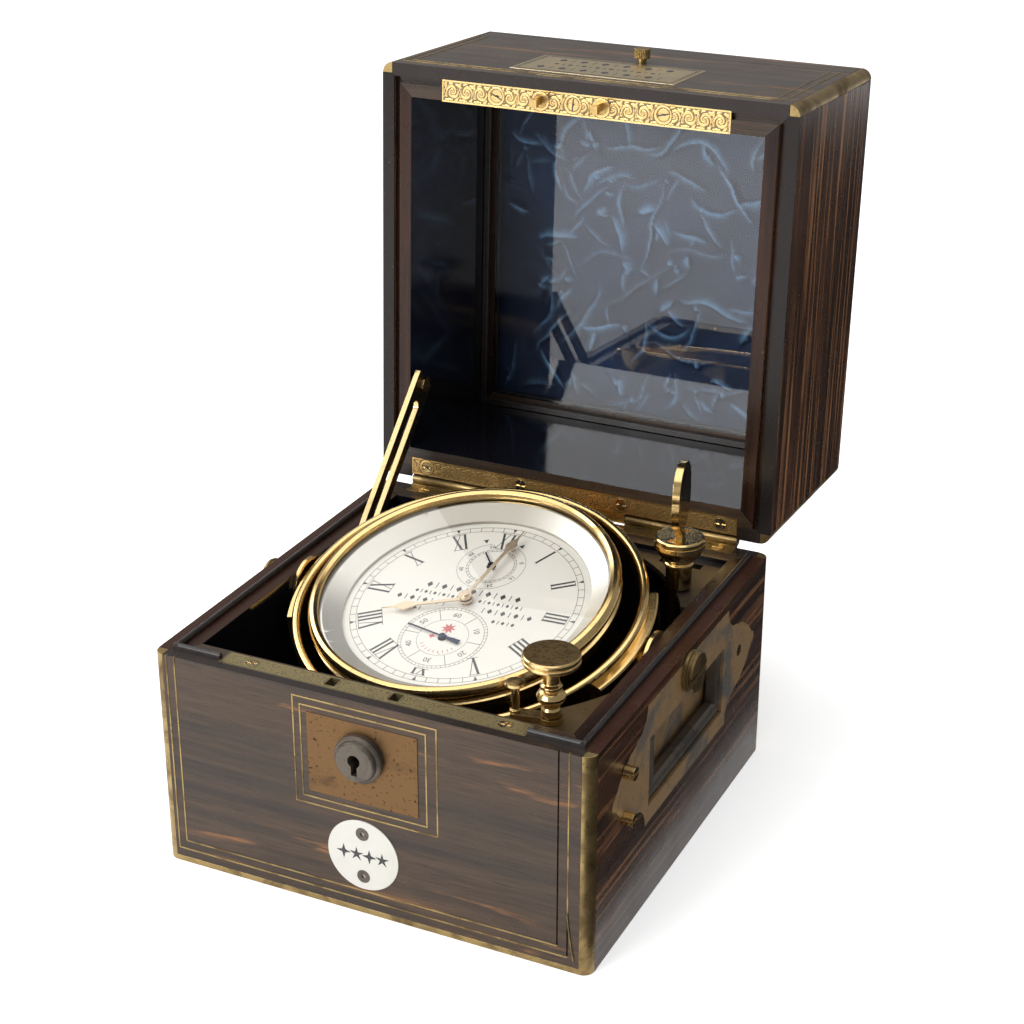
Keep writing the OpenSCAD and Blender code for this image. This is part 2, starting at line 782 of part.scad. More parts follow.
module butt_knuckle_room() {
    for (c = top_hinge_x) translate([c - 5.1, half + 0.05, seam_z - 2.6]) cube([10.2, 5, 5]);
}

module top_hinge_upper() {
    color(brass) opened() difference() {
        union() {
            for (c = top_hinge_x) difference() {
                translate([c - 12, half, seam_z + 0.2]) cube([24, 1.1, 9.8]);
                for (s = [-12.1, 4.9]) translate([c + s, half + 0.05, seam_z - 3]) cube([7.2, 5, 5.6]);
            }
            butt_knuckles([[-4.9, 4.9]]);
        }
        for (c = top_hinge_x) translate([c - 13, top_hinge_y, seam_z]) rotate([0, 90, 0])
            cylinder(r = 0.8 + run_gap, h = 26);
    }
}

// ---- top lid ----

module top_lid() {
    color(wood) opened() difference() {
        translate([-half, -half, seam_z + 0.1]) cube([case_w, case_w, top_h - 0.1]);
        translate([-inner, -inner, seam_z - 1]) cube([2 * inner, 2 * inner, top_h - 3]);
        at_corners() translate([0, 0, seam_z - 1]) corner_notch(top_h + 2);
    }
}

module top_lining() {
    color([0.10, 0.16, 0.42]) opened() translate([-inner + 0.4, -inner + 0.4, seam_z + 1])
        cube([2 * inner - 0.8, 2 * inner - 0.8, top_h - 5.4]);
}

module top_corner_strips() {
    color(old_brass) opened() at_corners() translate([0, 0, seam_z + 0.1]) quarter_round(top_h - 0.1);
}

// ---- gimbals ----

module gimbal_ring() {
    color(brass) ring_frame() difference() {
        rotate_extrude($fn = 128) {
            translate([ring_r - 3.6, 2]) square([3.6, 9.2]);
            translate([ring_r - 1.8, 11.2]) circle(r = 1.8);
        }
        for (s = [0, 180]) rotate(s) translate([s == 0 ? bowl_shift : -bowl_shift, -50, ring_bolt_h])
            rotate([90, 0, 0]) cylinder(r = 1.6, h = 30);
    }
}

// Curved blocks on the two sides of the ring, bored for the case screws
module gimbal_blocks() {
    spread = 23;
    color(brass) ring_frame() for (s = [0, 1]) mirror([s, 0, 0]) difference() {
        rotate([0, 0, -spread]) rotate_extrude(angle = 2 * spread, $fn = 128)
            polygon([[ring_r, -6], [block_r - 0.6, -6], [block_r, -5.4], [block_r, 8.4],
                [block_r - 0.6, 9], [ring_r, 9]]);
        translate([block_r - 2.3, 0, 0]) rotate([0, 90, 0]) cylinder(r = 1.6 + run_gap, h = 9);
    }
}

module bowl_screws() {
    color(brass) ring_frame() for (s = [0, 180]) rotate(s)
        translate([s == 0 ? bowl_shift : -bowl_shift, 0, ring_bolt_h]) rotate([90, 0, 0]) {
            translate([0, 0, bowl_r - 1.6]) cylinder(r = 1.6, h = ring_r - bowl_r + 1.6);
            difference() {
                translate([0, 0, ring_r]) cylinder(r = 3.4, h = 1.3);
                translate([-5, -0.35, ring_r + 0.8]) cube([10, 0.7, 2]);
            }
        }
}

// ---- bowl and dial ----

module bowl() {
    depth = 44;
    round_r = 16;
    wall = 1.9;
    color(brass) bowl_frame() difference() {
        rotate_extrude($fn = 128) difference() {
            union() {
                translate([0, -depth]) square([bowl_r - round_r, depth + 8]);
                translate([0, -depth + round_r]) square([bowl_r, depth - round_r + 8]);
                translate([bowl_r - round_r, -depth + round_r]) circle(r = round_r);
                translate([bowl_r - 1, 5.4]) square([3.6, 2.6]);
            }
            translate([0, -depth + wall]) square([bowl_r - round_r, depth + 20]);
            translate([0, -depth + round_r]) square([bowl_r - wall, depth]);
            translate([bowl_r - round_r, -depth + round_r]) circle(r = round_r - wall);
            translate([-99, -99]) square([99, 199]);
        }
        // winding hole under the fusee, and the two pivot holes
        translate([0, reserve_y, -depth - 1]) cylinder(r = 3.4, h = 9);
        translate([0, 0, ring_bolt_h]) rotate([90, 0, 0])
            cylinder(r = 1.6 + run_gap, h = 2 * bowl_r + 30, center = true);
    }
}

// Screwed bezel with two beads and a groove
module bezel() {
    color(brass) bowl_frame() difference() {
        rotate_extrude($fn = 128) polygon([[57.6, 8.1], [60.6, 8.1], [60.6, 10], [61.4, 10.4],
            [61.6, 12.4], [60.4, 13.2], [60.4, 14.2], [bezel_r - 0.3, 15], [bezel_r, 16.6],
            [bezel_r - 0.6, 18.2], [60.6, 19.2], [59.2, 19.6], [57.8, 18.8], [57.4, 17.6],
            [58.4, 17.4], [58.4, 12], [57.6, 12]]);
        translate([0, 0, ring_bolt_h]) rotate([90, 0, 0])
            cylinder(r = 1.7, h = 2 * bowl_r + 30, center = true);
    }
}

module crystal() {
    color([0.8, 0.9, 0.95, 0.3]) bowl_frame() translate([0, 0, 15.4])
        cylinder(r = 58.3, h = 1.9, $fn = 128);
}

// Silvered sloping ring between the glass and the dial
module dial_flange() {
    color(silvered) bowl_frame() rotate_extrude($fn = 128) polygon([[dial_r, dial_h + 0.3],
        [57.5, dial_h + 0.3], [57.5, 15.3], [56.6, 15.3], [dial_r, dial_h + 1.2]]);
}

module dial() {
    color([0.93, 0.92, 0.87]) bowl_frame() difference() {
        translate([0, 0, dial_h - 1.2]) cylinder(r = 54.2, h = 1.2, $fn = 128);
        for (y = [0, seconds_y, reserve_y]) translate([0, y, dial_h - 3]) cylinder(r = 1.9, h = 9);
    }
}

// ---- hands ----

module spade_hand(length, w) {
    linear_extrude(0.5) {
        translate([-w / 2, 0]) square([w, length - 12]);
        polygon([[-w / 2, length - 14], [w / 2, length - 14], [2.4, length - 10], [2.2, length - 8.6],
            [0.35, length - 5], [0.15, length], [-0.15, length], [-0.35, length - 5],
            [-2.2, length - 8.6], [-2.4, length - 10]]);
    }
}

module hour_hand() {
    color(brass) bowl_frame() translate([0, 0, dial_h + 1.6]) rotate(-hour_angle) difference() {
        union() {
            cylinder(r = 3, h = 0.9);
            spade_hand(33.6, 1.5);
            translate([0, 0, -2.4]) cylinder(r = 1.7, h = 2.8);
        }
        translate([0, 0, -5]) cylinder(r = 1.1 + run_gap, h = 9);
    }
}

module minute_hand_shape() {
    translate([0, 0, dial_h + 3]) rotate(-minute_angle) {
        cylinder(r = 2.6, h = 1.2);
        spade_hand(43, 1.4);
    }
    translate([0, 0, dial_h + 4]) cylinder(r = 1.7, h = 0.8);
}

module reserve_hand() {
    color(steel) bowl_frame() translate([0, reserve_y, dial_h + 0.5]) {
        cylinder(r = 1.3, h = 0.7);
        rotate(40) translate([-0.3, -3.5, 0.1]) cube([0.6, 12, 0.4]);
        translate([0, 0, -4]) cylinder(r = 0.8, h = 4.2);
    }
}

// ---- movement ----

module plate_bore(p, z, r = 1) {
    place(p, z - 1) cylinder(r = r, h = 6);
}

// Pillar plate with its five riveted pillars
module pillar_plate() {
    color(brass) bowl_frame() difference() {
        union() {
            translate([0, 0, 3.6]) cylinder(r = 50, h = 2.6, $fn = 128);
            for (a = [40, 112, 160, 256, 328]) rotate(a) translate([46, 0, -15]) {
                cylinder(r = 2.1, h = 19);
                translate([0, 0, 8]) cylinder(r = 2.8, h = 3);
            }
        }
        for (p = [[0, 0], third_at, [0, seconds_y], escape_at, barrel_at, [0, reserve_y]])
            plate_bore(p, 3.6, 1.6);
    }
}

module top_plate() {
    color(brass) bowl_frame() difference() {
        translate([0, 0, -17.5]) cylinder(r = 50, h = 2.5, $fn = 128);
        for (p = [[0, 0], third_at, [0, seconds_y], escape_at, barrel_at, balance_at])
            plate_bore(p, -17.5, 1.6);
        plate_bore([0, reserve_y], -17.5, 2.6);
    }
}

// Bridge under the balance, standing off the top plate
module balance_cock() {
    foot = [-38, -12];
    turn = atan2(balance_at[1] - foot[1], balance_at[0] - foot[0]);
    color(brass) bowl_frame() {
        place(foot, -31.4) cylinder(r = 4, h = 13.9);
        place(foot, -31.4) rotate(turn) difference() {
            translate([0, -3, 0]) cube([norm(balance_at - foot) + 4, 6, 2]);
            translate([norm(balance_at - foot), 0, -1]) cylinder(r = 1, h = 9);
        }
    }
}

module spring_barrel() {
    color(brass) bowl_frame() place(barrel_at) {
        translate([0, 0, -9.5]) cylinder(r = 16.4, h = 11.5);
        arbor(-17, 5.8, 1.5);
    }
}

// Cone with its spiral steps, great wheel and winding square
module fusee() {
    turns = 8;
    color(brass) bowl_frame() translate([0, reserve_y, 0]) {
        for (i = [0 : turns - 1]) translate([0, 0, -8 + i]) {
            cylinder(r = 15 - 7 * (turns - 1 - i) / turns, h = 0.7);
            cylinder(r = 14.2 - 7 * (turns - 1 - i) / turns, h = 1);
        }
        translate([0, 0, 0.6]) clock_wheel(20, 1.4, 90, 5, 3);
        arbor(-20, 5.6, 1.5);
        translate([-1.4, -1.4, -38]) cube([2.8, 2.8, 19]);
    }
}

// Arbor that carries the minute hand at its upper end
module centre_wheel() {
    color(brass) bowl_frame() {
        translate([0, 0, -13.6]) clock_wheel(14.5, 1.2, 80);
        arbor(-17, dial_h + 4, 1.05);
        translate([0, 0, 0.6]) cylinder(r = 2.5, h = 2.4);
        minute_hand_shape();
    }
}

module third_wheel() {
    color(brass) bowl_frame() place(third_at) {
        translate([0, 0, -3]) clock_wheel(11.4, 1, 70, 4, 1.6);
        arbor(-17, 5.8);
        translate([0, 0, -14]) cylinder(r = 2, h = 2.6);
    }
}

// Arbor that carries the seconds hand
module fourth_wheel() {
    color(brass) bowl_frame() translate([0, seconds_y, 0]) {
        translate([0, 0, -6.4]) clock_wheel(9.6, 1, 60, 4, 1.6);
        arbor(-17, dial_h + 1.2);
        translate([0, 0, dial_h + 0.5]) cylinder(r = 1.3, h = 0.8);
        translate([0, 0, dial_h + 0.6]) rotate(78.4) linear_extrude(0.4) {
            translate([-0.25, 0]) square([0.5, 17]);
            polygon([[-0.4, 0], [0.4, 0], [1.1, -8], [-1.1, -8]]);
        }
    }
}

module escape_wheel() {
    color(brass) bowl_frame() place(escape_at) {
        translate([0, 0, -12]) clock_wheel(6.4, 0.9, 15, 4, 1.4);
        arbor(-17, 5.8, 0.7);
    }
}

// Balance rim, arms, timing weights, roller and helical spring barrel
module balance_wheel() {
    color(brass) bowl_frame() place(balance_at) {
        translate([0, 0, -24]) {
            ring_tube(12.6, 10.8, 3);
            translate([-11.4, -1, 0.4]) cube([22.8, 2, 1.4]);
            for (s = [-1, 1]) translate([0, s * 13.2, 1.5]) cylinder(r = 2, h = 3, center = true);
        }
        arbor(-31, -16, 0.7);
        for (i = [0 : 4]) translate([0, 0, -29.4 + i]) ring_tube(3.6, 3.1, 0.4);
        translate([-3.3, -0.4, -29.4]) cube([6.6, 0.8, 0.4]);
        translate([-3.6, -0.3, -29.4]) cube([0.6, 0.6, 5.8]);
    }
}

base_case();
base_bottom();
base_edge_strips();
rim_tongue();
front_stringing();
lock_panel();
keyhole_cover();
number_disc();
box_lock();
lock_bolt();
base_hinge_leaf();
handle_plate_right();
handle_plate_left();
bail_right();
bail_left();
base_screws();
gimbal_screws();
gimbal_bushes();
rear_deck();
front_deck();
gimbal_lock_knob();
gimbal_lock_lever();
key_barrel();
key_handle();
middle_case();
middle_glass();
glass_moulding();
middle_corner_strips();
name_plaque();
release_button();
link_plate();
middle_hinge_leaf();
middle_screws();
hinge_pin();
stay_arm();
top_hinge_lower();
top_lid();
top_lining();
top_corner_strips();
top_hinge_upper();
gimbal_ring();
gimbal_blocks();
bowl_screws();
bowl();
bezel();
crystal();
dial_flange();
dial();
pillar_plate();
top_plate();
balance_cock();
spring_barrel();
fusee();
centre_wheel();
third_wheel();
fourth_wheel();
escape_wheel();
balance_wheel();
hour_hand();
reserve_hand();
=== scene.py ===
"""Looks of a two-day marine chronometer: finishes, engraving, dial printing, lining, light and camera."""

import json
import math
import random

import bmesh
import bpy
import numpy as np
from mathutils import Matrix, Vector

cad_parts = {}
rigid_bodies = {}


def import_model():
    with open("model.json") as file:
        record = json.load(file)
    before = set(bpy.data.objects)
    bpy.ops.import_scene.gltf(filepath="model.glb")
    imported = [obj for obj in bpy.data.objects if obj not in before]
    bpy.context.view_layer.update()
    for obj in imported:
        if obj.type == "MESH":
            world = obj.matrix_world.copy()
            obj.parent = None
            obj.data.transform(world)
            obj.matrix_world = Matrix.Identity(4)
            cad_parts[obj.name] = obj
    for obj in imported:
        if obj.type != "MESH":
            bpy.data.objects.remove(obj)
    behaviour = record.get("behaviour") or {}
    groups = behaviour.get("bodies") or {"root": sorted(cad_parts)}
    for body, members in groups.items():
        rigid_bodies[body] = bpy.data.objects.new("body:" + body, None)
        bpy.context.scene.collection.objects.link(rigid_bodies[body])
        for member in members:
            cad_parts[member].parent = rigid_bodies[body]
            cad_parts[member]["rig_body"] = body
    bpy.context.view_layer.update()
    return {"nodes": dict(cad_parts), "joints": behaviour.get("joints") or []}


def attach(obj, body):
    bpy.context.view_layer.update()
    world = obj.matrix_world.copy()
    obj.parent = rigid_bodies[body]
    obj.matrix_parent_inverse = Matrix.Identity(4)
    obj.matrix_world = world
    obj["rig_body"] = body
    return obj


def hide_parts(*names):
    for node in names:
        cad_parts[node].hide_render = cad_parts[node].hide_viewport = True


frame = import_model()
nodes = frame["nodes"]
joints = {joint["name"]: joint for joint in frame["joints"]}
scene = bpy.context.scene
MM = 0.001
EAST = Vector((1, 0, 0))
BACK = Vector((0, 1, 0))
UP = Vector((0, 0, 1))


# ---- the frames that the detail is placed in ----

hinge_at = Vector(joints["case_hinge"]["pos_m"])
fold = math.radians(joints["case_hinge"]["range_deg"][1])
fold_back = Matrix.Rotation(fold, 4, "X")
TO_OPEN = (
    Matrix.Translation(hinge_at) @ Matrix.Rotation(-fold, 4, "X") @ Matrix.Translation(-hinge_at)
)
TO_CLOSED = TO_OPEN.inverted()


def corners_of(node, into=Matrix.Identity(4)):
    """Lowest and highest corner of a CAD node after the matrix is applied."""
    points = [into @ vertex.co for vertex in nodes[node].data.vertices]
    low = Vector([min(point[axis] for point in points) for axis in range(3)])
    high = Vector([max(point[axis] for point in points) for axis in range(3)])
    return low, high


case_low, case_high = corners_of("base_case")
half = case_high.x
rim_z = case_high.z
upper_low, upper_high = corners_of("middle_case", TO_CLOSED)
seam_z = upper_high.z


def frame_at(origin, east, north):
    """Matrix from millimetres on a flat face (east, north, outward) to the row frame."""
    out = east.cross(north)
    turn = Matrix((east, north, out)).transposed().to_4x4()
    return Matrix.Translation(origin) @ turn @ Matrix.Scale(MM, 4)


dial_up = -Vector(joints["minute_turn"]["axis"])
fusee_at = Vector(joints["fusee_turn"]["pos_m"])
seconds_at = Vector(joints["seconds_turn"]["pos_m"])
dial_north = (fusee_at - seconds_at).normalized()
dial_east = dial_north.cross(dial_up)
centre_at = Vector(joints["minute_turn"]["pos_m"])
dial_height = max((v.co - centre_at).dot(dial_up) for v in nodes["dial"].data.vertices)
DIAL = frame_at(centre_at + dial_up * dial_height, dial_east, dial_north)
seconds_y = (seconds_at - centre_at).dot(dial_north) / MM
reserve_y = (fusee_at - centre_at).dot(dial_north) / MM


# ---- shader helper ----


class Shader:
    """A material whose nodes are added and wired with short calls."""

    def __init__(self, name):
        self.material = bpy.data.materials.new(name)
        self.material.use_nodes = True
        self.tree = self.material.node_tree
        self.tree.nodes.clear()

    def node(self, kind, settings=None, **inputs):
        """Adds a node; an input that is a socket is linked, and any other value is set."""
        node = self.tree.nodes.new("ShaderNode" + kind)
        for key, value in (settings or {}).items():
            setattr(node, key, value)
        for key, value in inputs.items():
            socket = node.inputs[int(key[1:])] if key[1:].isdigit() else node.inputs[key.replace("_", " ")]
            self.put(socket, value)
        return node

    def put(self, socket, value):
        if isinstance(value, bpy.types.NodeSocket):
            self.tree.links.new(value, socket)
        elif socket.type == "RGBA" and len(value) == 3:
            socket.default_value = (*value, 1)
        else:
            socket.default_value = value

    def math(self, operation, a, b=0.0, c=0.0):
        return self.node("Math", {"operation": operation}, i0=a, i1=b, i2=c).outputs[0]

    def mix(self, factor, a, b):
        """Colour mix from a to b."""
        node = self.node("Mix", {"data_type": "RGBA"}, i0=factor, i6=a, i7=b)
        return node.outputs[2]

    def blend(self, factor, a, b):
        """Number mix from a to b."""
        return self.node("Mix", {"data_type": "FLOAT"}, i0=factor, i2=a, i3=b).outputs[0]

    def band(self, value, low, high):
        """0 below low, 1 above high, smooth between."""
        settings = {"interpolation_type": "SMOOTHSTEP"}
        return self.node("MapRange", settings, i0=value, i1=low, i2=high).outputs[0]

    def split(self, vector):
        return self.node("SeparateXYZ", i0=vector).outputs

    def join(self, x, y, z):
        return self.node("CombineXYZ", i0=x, i1=y, i2=z).outputs[0]

    def noise(self, vector, scale, detail=4.0, roughness=0.55, distortion=0.0):
        node = self.node(
            "TexNoise", i0=vector, Scale=scale, Detail=detail, Roughness=roughness, Distortion=distortion
        )
        return node.outputs["Fac"]

    def dot(self, vector, direction):
        node = self.node("VectorMath", {"operation": "DOT_PRODUCT"}, i0=vector, i1=tuple(direction))
        return node.outputs["Value"]

    def object_point(self):
        return self.node("TexCoord").outputs["Object"]

    def object_normal(self):
        return self.node("TexCoord").outputs["Normal"]

    def bump(self, height, strength, distance):
        return self.node("Bump", Height=height, Strength=strength, Distance=distance).outputs[0]

    def surface(self, **inputs):
        """Principled surface; returns the material."""
        shader = self.node("BsdfPrincipled", **inputs)
        return self.output(shader.outputs[0])

    def output(self, socket):
        out = self.node("OutputMaterial")
        self.tree.links.new(socket, out.inputs["Surface"])
        return self.material


# ---- materials ----


def case_frame(s, folded):
    """Point and normal with the case closed, so that the grain follows the boards."""
    point = s.object_point()
    normal = s.object_normal()
    if folded:
        shift = hinge_at - fold_back @ hinge_at
        turn = (fold, 0, 0)
        point = s.node("Mapping", i0=point, Location=tuple(shift), Rotation=turn).outputs[0]
        normal = s.node("Mapping", {"vector_type": "VECTOR"}, i0=normal, Rotation=turn).outputs[0]
    return point, normal


def figured_wood(name, folded, side_figure, rim_tint):
    """Coromandel boards: near-black ground, fine dark stripes and orange streaks along the grain.

    folded is for the upper tiers, which stand open; side_figure is how strong the orange lines
    of the side boards are, and rim_tint colours the outer band of the front and back rims.
    """
    edge_band = half - 5.6 * MM
    inner_wall = half - 11 * MM
    s = Shader(name)
    point, normal = case_frame(s, folded)
    x, y, z = s.split(point)[:3]
    nx = s.split(normal)[0]
    nz = s.split(normal)[2]
    wide_x = s.math("ABSOLUTE", x)
    wide_y = s.math("ABSOLUTE", y)
    on_rim = s.math("GREATER_THAN", s.math("ABSOLUTE", nz), 0.5)
    rim_side = s.math("MULTIPLY", on_rim, s.math("GREATER_THAN", wide_x, wide_y))
    on_side = s.math("MAXIMUM", s.math("GREATER_THAN", s.math("ABSOLUTE", nx), 0.5), rim_side)
    along = s.blend(on_side, x, y)
    across = s.math("MULTIPLY_ADD", on_side, 0.31, s.blend(on_side, y, x))

    def grain(length, width):
        return s.join(
            s.math("MULTIPLY", along, length),
            s.math("MULTIPLY", across, width),
            s.math("MULTIPLY", z, width),
        )

    stripes = s.noise(grain(7, 210), 1.0, 5.0, 0.62, 0.25)
    figure = s.noise(grain(8, 44), 1.0, 3.0, 0.5, 0.6)
    streaks = s.noise(grain(15, 150), 1.0, 4.0, 0.6, 0.4)
    fibre = s.noise(grain(60, 2600), 1.0, 2.0, 0.6)
    fine = s.noise(grain(6, 430), 1.0, 4.0, 0.65, 0.2)
    # The front and back boards are tinted greyer and lighter than the side boards: partly the wood's own
    # tone, partly a painted sheen.
    dark_tint = s.mix(on_side, (0.034, 0.023, 0.016), (0.010, 0.005, 0.004))
    mid_tint = s.mix(on_side, (0.058, 0.036, 0.022), (0.034, 0.014, 0.008))
    ground = s.mix(s.band(stripes, 0.36, 0.62), dark_tint, mid_tint)
    side_tint = s.mix(on_side, (0.070, 0.041, 0.023), (0.050, 0.018, 0.008))
    ground = s.mix(s.math("MULTIPLY", s.band(figure, 0.42, 0.68), 0.75), ground, side_tint)
    orange = s.math("MULTIPLY", s.band(streaks, 0.54, 0.66), s.band(figure, 0.48, 0.64))
    orange = s.math("MULTIPLY", orange, s.blend(s.band(fine, 0.42, 0.58), 0.15, 0.85))
    side_lines = s.math("MULTIPLY", s.band(fine, 0.50, 0.66), s.math("MULTIPLY", on_side, side_figure))
    orange = s.math("MAXIMUM", orange, side_lines)
    orange = s.math("MULTIPLY", orange, s.math("SUBTRACT", 1.0, on_rim))
    dark_grain = s.mix(0.5, ground, (0.0, 0.0, 0.0))
    colour = s.mix(s.math("MULTIPLY", s.band(fine, 0.40, 0.56), 0.35), ground, dark_grain)
    colour = s.mix(orange, colour, (0.27, 0.115, 0.042))
    colour = s.mix(s.math("MULTIPLY", s.band(fibre, 0.42, 0.70), 0.6), colour, (0.012, 0.008, 0.006))
    # outer band of each rim, and the black-stained inside of the box
    reach = s.math("MAXIMUM", wide_x, wide_y)
    outer = s.math("MULTIPLY", on_rim, s.band(reach, edge_band - 0.1 * MM, edge_band + 0.1 * MM))
    colour = s.mix(outer, colour, s.mix(on_side, (0.020, 0.014, 0.012), rim_tint))
    inside = s.math("MULTIPLY", s.math("LESS_THAN", reach, inner_wall), s.math("SUBTRACT", 1.0, on_rim))
    colour = s.mix(inside, colour, (0.005, 0.005, 0.008))
    mitre = s.math("ABSOLUTE", s.math("SUBTRACT", wide_x, wide_y))
    mitre = s.math("MULTIPLY", on_rim, s.math("LESS_THAN", mitre, 0.25 * MM))
    colour = s.mix(mitre, colour, (0.004, 0.003, 0.003))
    # rubbed places, dust and small dents in the polish
    wear = s.noise(point, 38.0, 5.0, 0.6)
    roughness = s.blend(s.band(wear, 0.35, 0.80), 0.24, 0.34)
    roughness = s.blend(inside, roughness, 0.09)
    gloss = s.blend(inside, s.blend(on_side, 0.30, 0.20), 0.6)
    dust = s.band(s.noise(point, 900.0, 2.0, 0.5), 0.72, 0.80)
    colour = s.mix(s.math("MULTIPLY", dust, 0.35), colour, (0.25, 0.23, 0.20))
    dents = s.math("MULTIPLY_ADD", wear, 0.5, s.math("MULTIPLY", fibre, 0.5))
    dents = s.math("MULTIPLY", dents, s.blend(inside, 1.0, 0.12))
    return s.surface(
        Base_Color=colour,
        Roughness=roughness,
        Specular_IOR_Level=gloss,
        Normal=s.bump(dents, 0.2, 0.0002),
    )


def ebony(name):
    """Black-stained wood with a faint brown grain."""
    s = Shader(name)
    point = s.object_point()
    fibre = s.noise(point, 260.0, 4.0, 0.65, 1.5)
    wear = s.noise(point, 60.0, 4.0, 0.6)
    colour = s.mix(s.band(fibre, 0.35, 0.75), (0.008, 0.007, 0.007), (0.030, 0.021, 0.017))
    return s.surface(
        Base_Color=colour,
        Roughness=s.blend(wear, 0.22, 0.5),
        Normal=s.bump(fibre, 0.2, 0.0002),
    )


def brass(name, metal, tarnish, cover, roughness, grime, darkened_facing=None, hollows=0.0, clean=1.0):
    """Worn brass: cover is the share that has tarnished, grime how dark the specks are.

    The argument after grime is a direction: faces that face it are painted a darker brown and made rougher.
    hollows is how dark the engraved ground is; clean below 1 is a crust that reflects less.
    """
    s = Shader(name)
    point = s.object_point()
    cloud = s.noise(point, 55.0, 5.0, 0.6, 0.8)
    speck = s.noise(point, 700.0, 3.0, 0.6)
    rub = s.node("Mapping", i0=point, Scale=(1.0, 0.06, 1.0)).outputs[0]
    scratch = s.noise(rub, 2600.0, 2.0, 0.5)
    patina = s.band(cloud, 0.78 - cover * 0.62, 0.92 - cover * 0.42)
    colour = s.mix(patina, metal, tarnish)
    dark = tuple(channel * 0.25 for channel in tarnish)
    colour = s.mix(s.math("MULTIPLY", s.band(speck, 0.58, 0.74), grime), colour, dark)
    rough = s.blend(patina, roughness, min(0.6, roughness + 0.22))
    rough = s.math("ADD", rough, s.math("MULTIPLY", s.math("SUBTRACT", scratch, 0.5), 0.18))
    height = s.math("MULTIPLY_ADD", scratch, 0.4, s.math("MULTIPLY", speck, 0.6))
    metallic = s.blend(patina, clean, 0.82 * clean)
    # faces that face the given direction are painted a darker brown and made rougher
    if darkened_facing is not None:
        brown = s.band(s.dot(s.object_normal(), darkened_facing), 0.80, 0.90)
        facing_colour = s.mix(s.band(speck, 0.40, 0.66), tuple(channel * 0.55 for channel in tarnish), dark)
        colour = s.mix(brown, colour, facing_colour)
        rough = s.blend(brown, rough, 0.42)
    if hollows:
        relief = s.node("Attribute", {"attribute_name": "relief"}).outputs["Fac"]
        hollow = s.math("MULTIPLY", s.math("SUBTRACT", 1.0, relief), hollows)
        colour = s.mix(hollow, colour, (0.020, 0.012, 0.005))
        metallic = s.blend(hollow, metallic, 0.2)
    return s.surface(
        Base_Color=colour,
        Metallic=metallic,
        Roughness=rough,
        Normal=s.bump(height, 0.12, 0.00008),
    )


def silvered(name, tint, roughness, metallic):
    """Silvered metal with a fine even grain and faint age spots."""
    s = Shader(name)
    point = s.object_point()
    grain = s.noise(point, 3200.0, 2.0, 0.6)
    age = s.noise(point, 30.0, 5.0, 0.6)
    stain = tuple(channel * 0.86 for channel in tint[:2]) + (tint[2] * 0.78,)
    colour = s.mix(s.math("MULTIPLY", s.band(age, 0.45, 0.8), 0.5), tint, stain)
    colour = s.mix(s.band(s.noise(point, 420.0, 2.0, 0.5), 0.76, 0.80), colour, (0.34, 0.30, 0.24))
    return s.surface(
        Base_Color=colour,
        Metallic=metallic,
        Roughness=s.blend(grain, roughness - 0.08, roughness + 0.08),
        Normal=s.bump(grain, 0.08, 0.00003),
    )


def turned_silver(name):
    """Ring brushed round and round; the bright and dark sectors that brushing shows under light are painted
    into its colour as painted highlight and shade.
    """
    s = Shader(name)
    shift = s.node("VectorMath", {"operation": "SUBTRACT"}, i0=s.object_point(), i1=tuple(centre_at))
    east = s.dot(shift.outputs[0], dial_east)
    north = s.dot(shift.outputs[0], dial_north)
    angle = s.math("ARCTAN2", north, east)
    squares = s.math("ADD", s.math("POWER", east, 2.0), s.math("POWER", north, 2.0))
    radius = s.math("SQRT", squares)
    wave = s.math("SINE", s.math("MULTIPLY_ADD", angle, 2.0, 0.7))
    small = s.math("SINE", s.math("MULTIPLY_ADD", angle, 5.0, 2.1))
    wave = s.math("MULTIPLY_ADD", small, 0.25, wave)
    turned = s.join(s.math("MULTIPLY", radius, 9000.0), s.math("MULTIPLY", angle, 1.5), 0.0)
    grooves = s.noise(turned, 1.0, 3.0)
    # painted highlight and shade: the colour runs from dark to bright by angle round the ring
    light = s.band(wave, -1.0, 1.1)
    colour = s.mix(light, (0.40, 0.375, 0.32), (0.80, 0.775, 0.70))
    return s.surface(
        Base_Color=colour,
        Metallic=0.85,
        Roughness=s.blend(grooves, 0.26, 0.40),
        Normal=s.bump(grooves, 0.15, 0.00004),
    )


def clear_glass(name, tint, shine):
    """Thin glass: tinted straight through, with reflections on its outer faces only."""
    s = Shader(name)
    smear = s.noise(s.object_point(), 26.0, 4.0, 0.6)
    through = s.node("BsdfTransparent", Color=tint)
    mirror = s.node("BsdfGlossy", Color=(1.0, 1.0, 1.0), Roughness=s.blend(smear, 0.0, 0.03))
    edge = s.node("Fresnel", IOR=1.5)
    outside = s.math("SUBTRACT", 1.0, s.node("NewGeometry").outputs["Backfacing"])
    amount = s.math("MULTIPLY", edge.outputs[0], s.math("MULTIPLY", outside, shine))
    both = s.node("MixShader", i0=amount, i1=through.outputs[0], i2=mirror.outputs[0])
    return s.output(both.outputs[0])


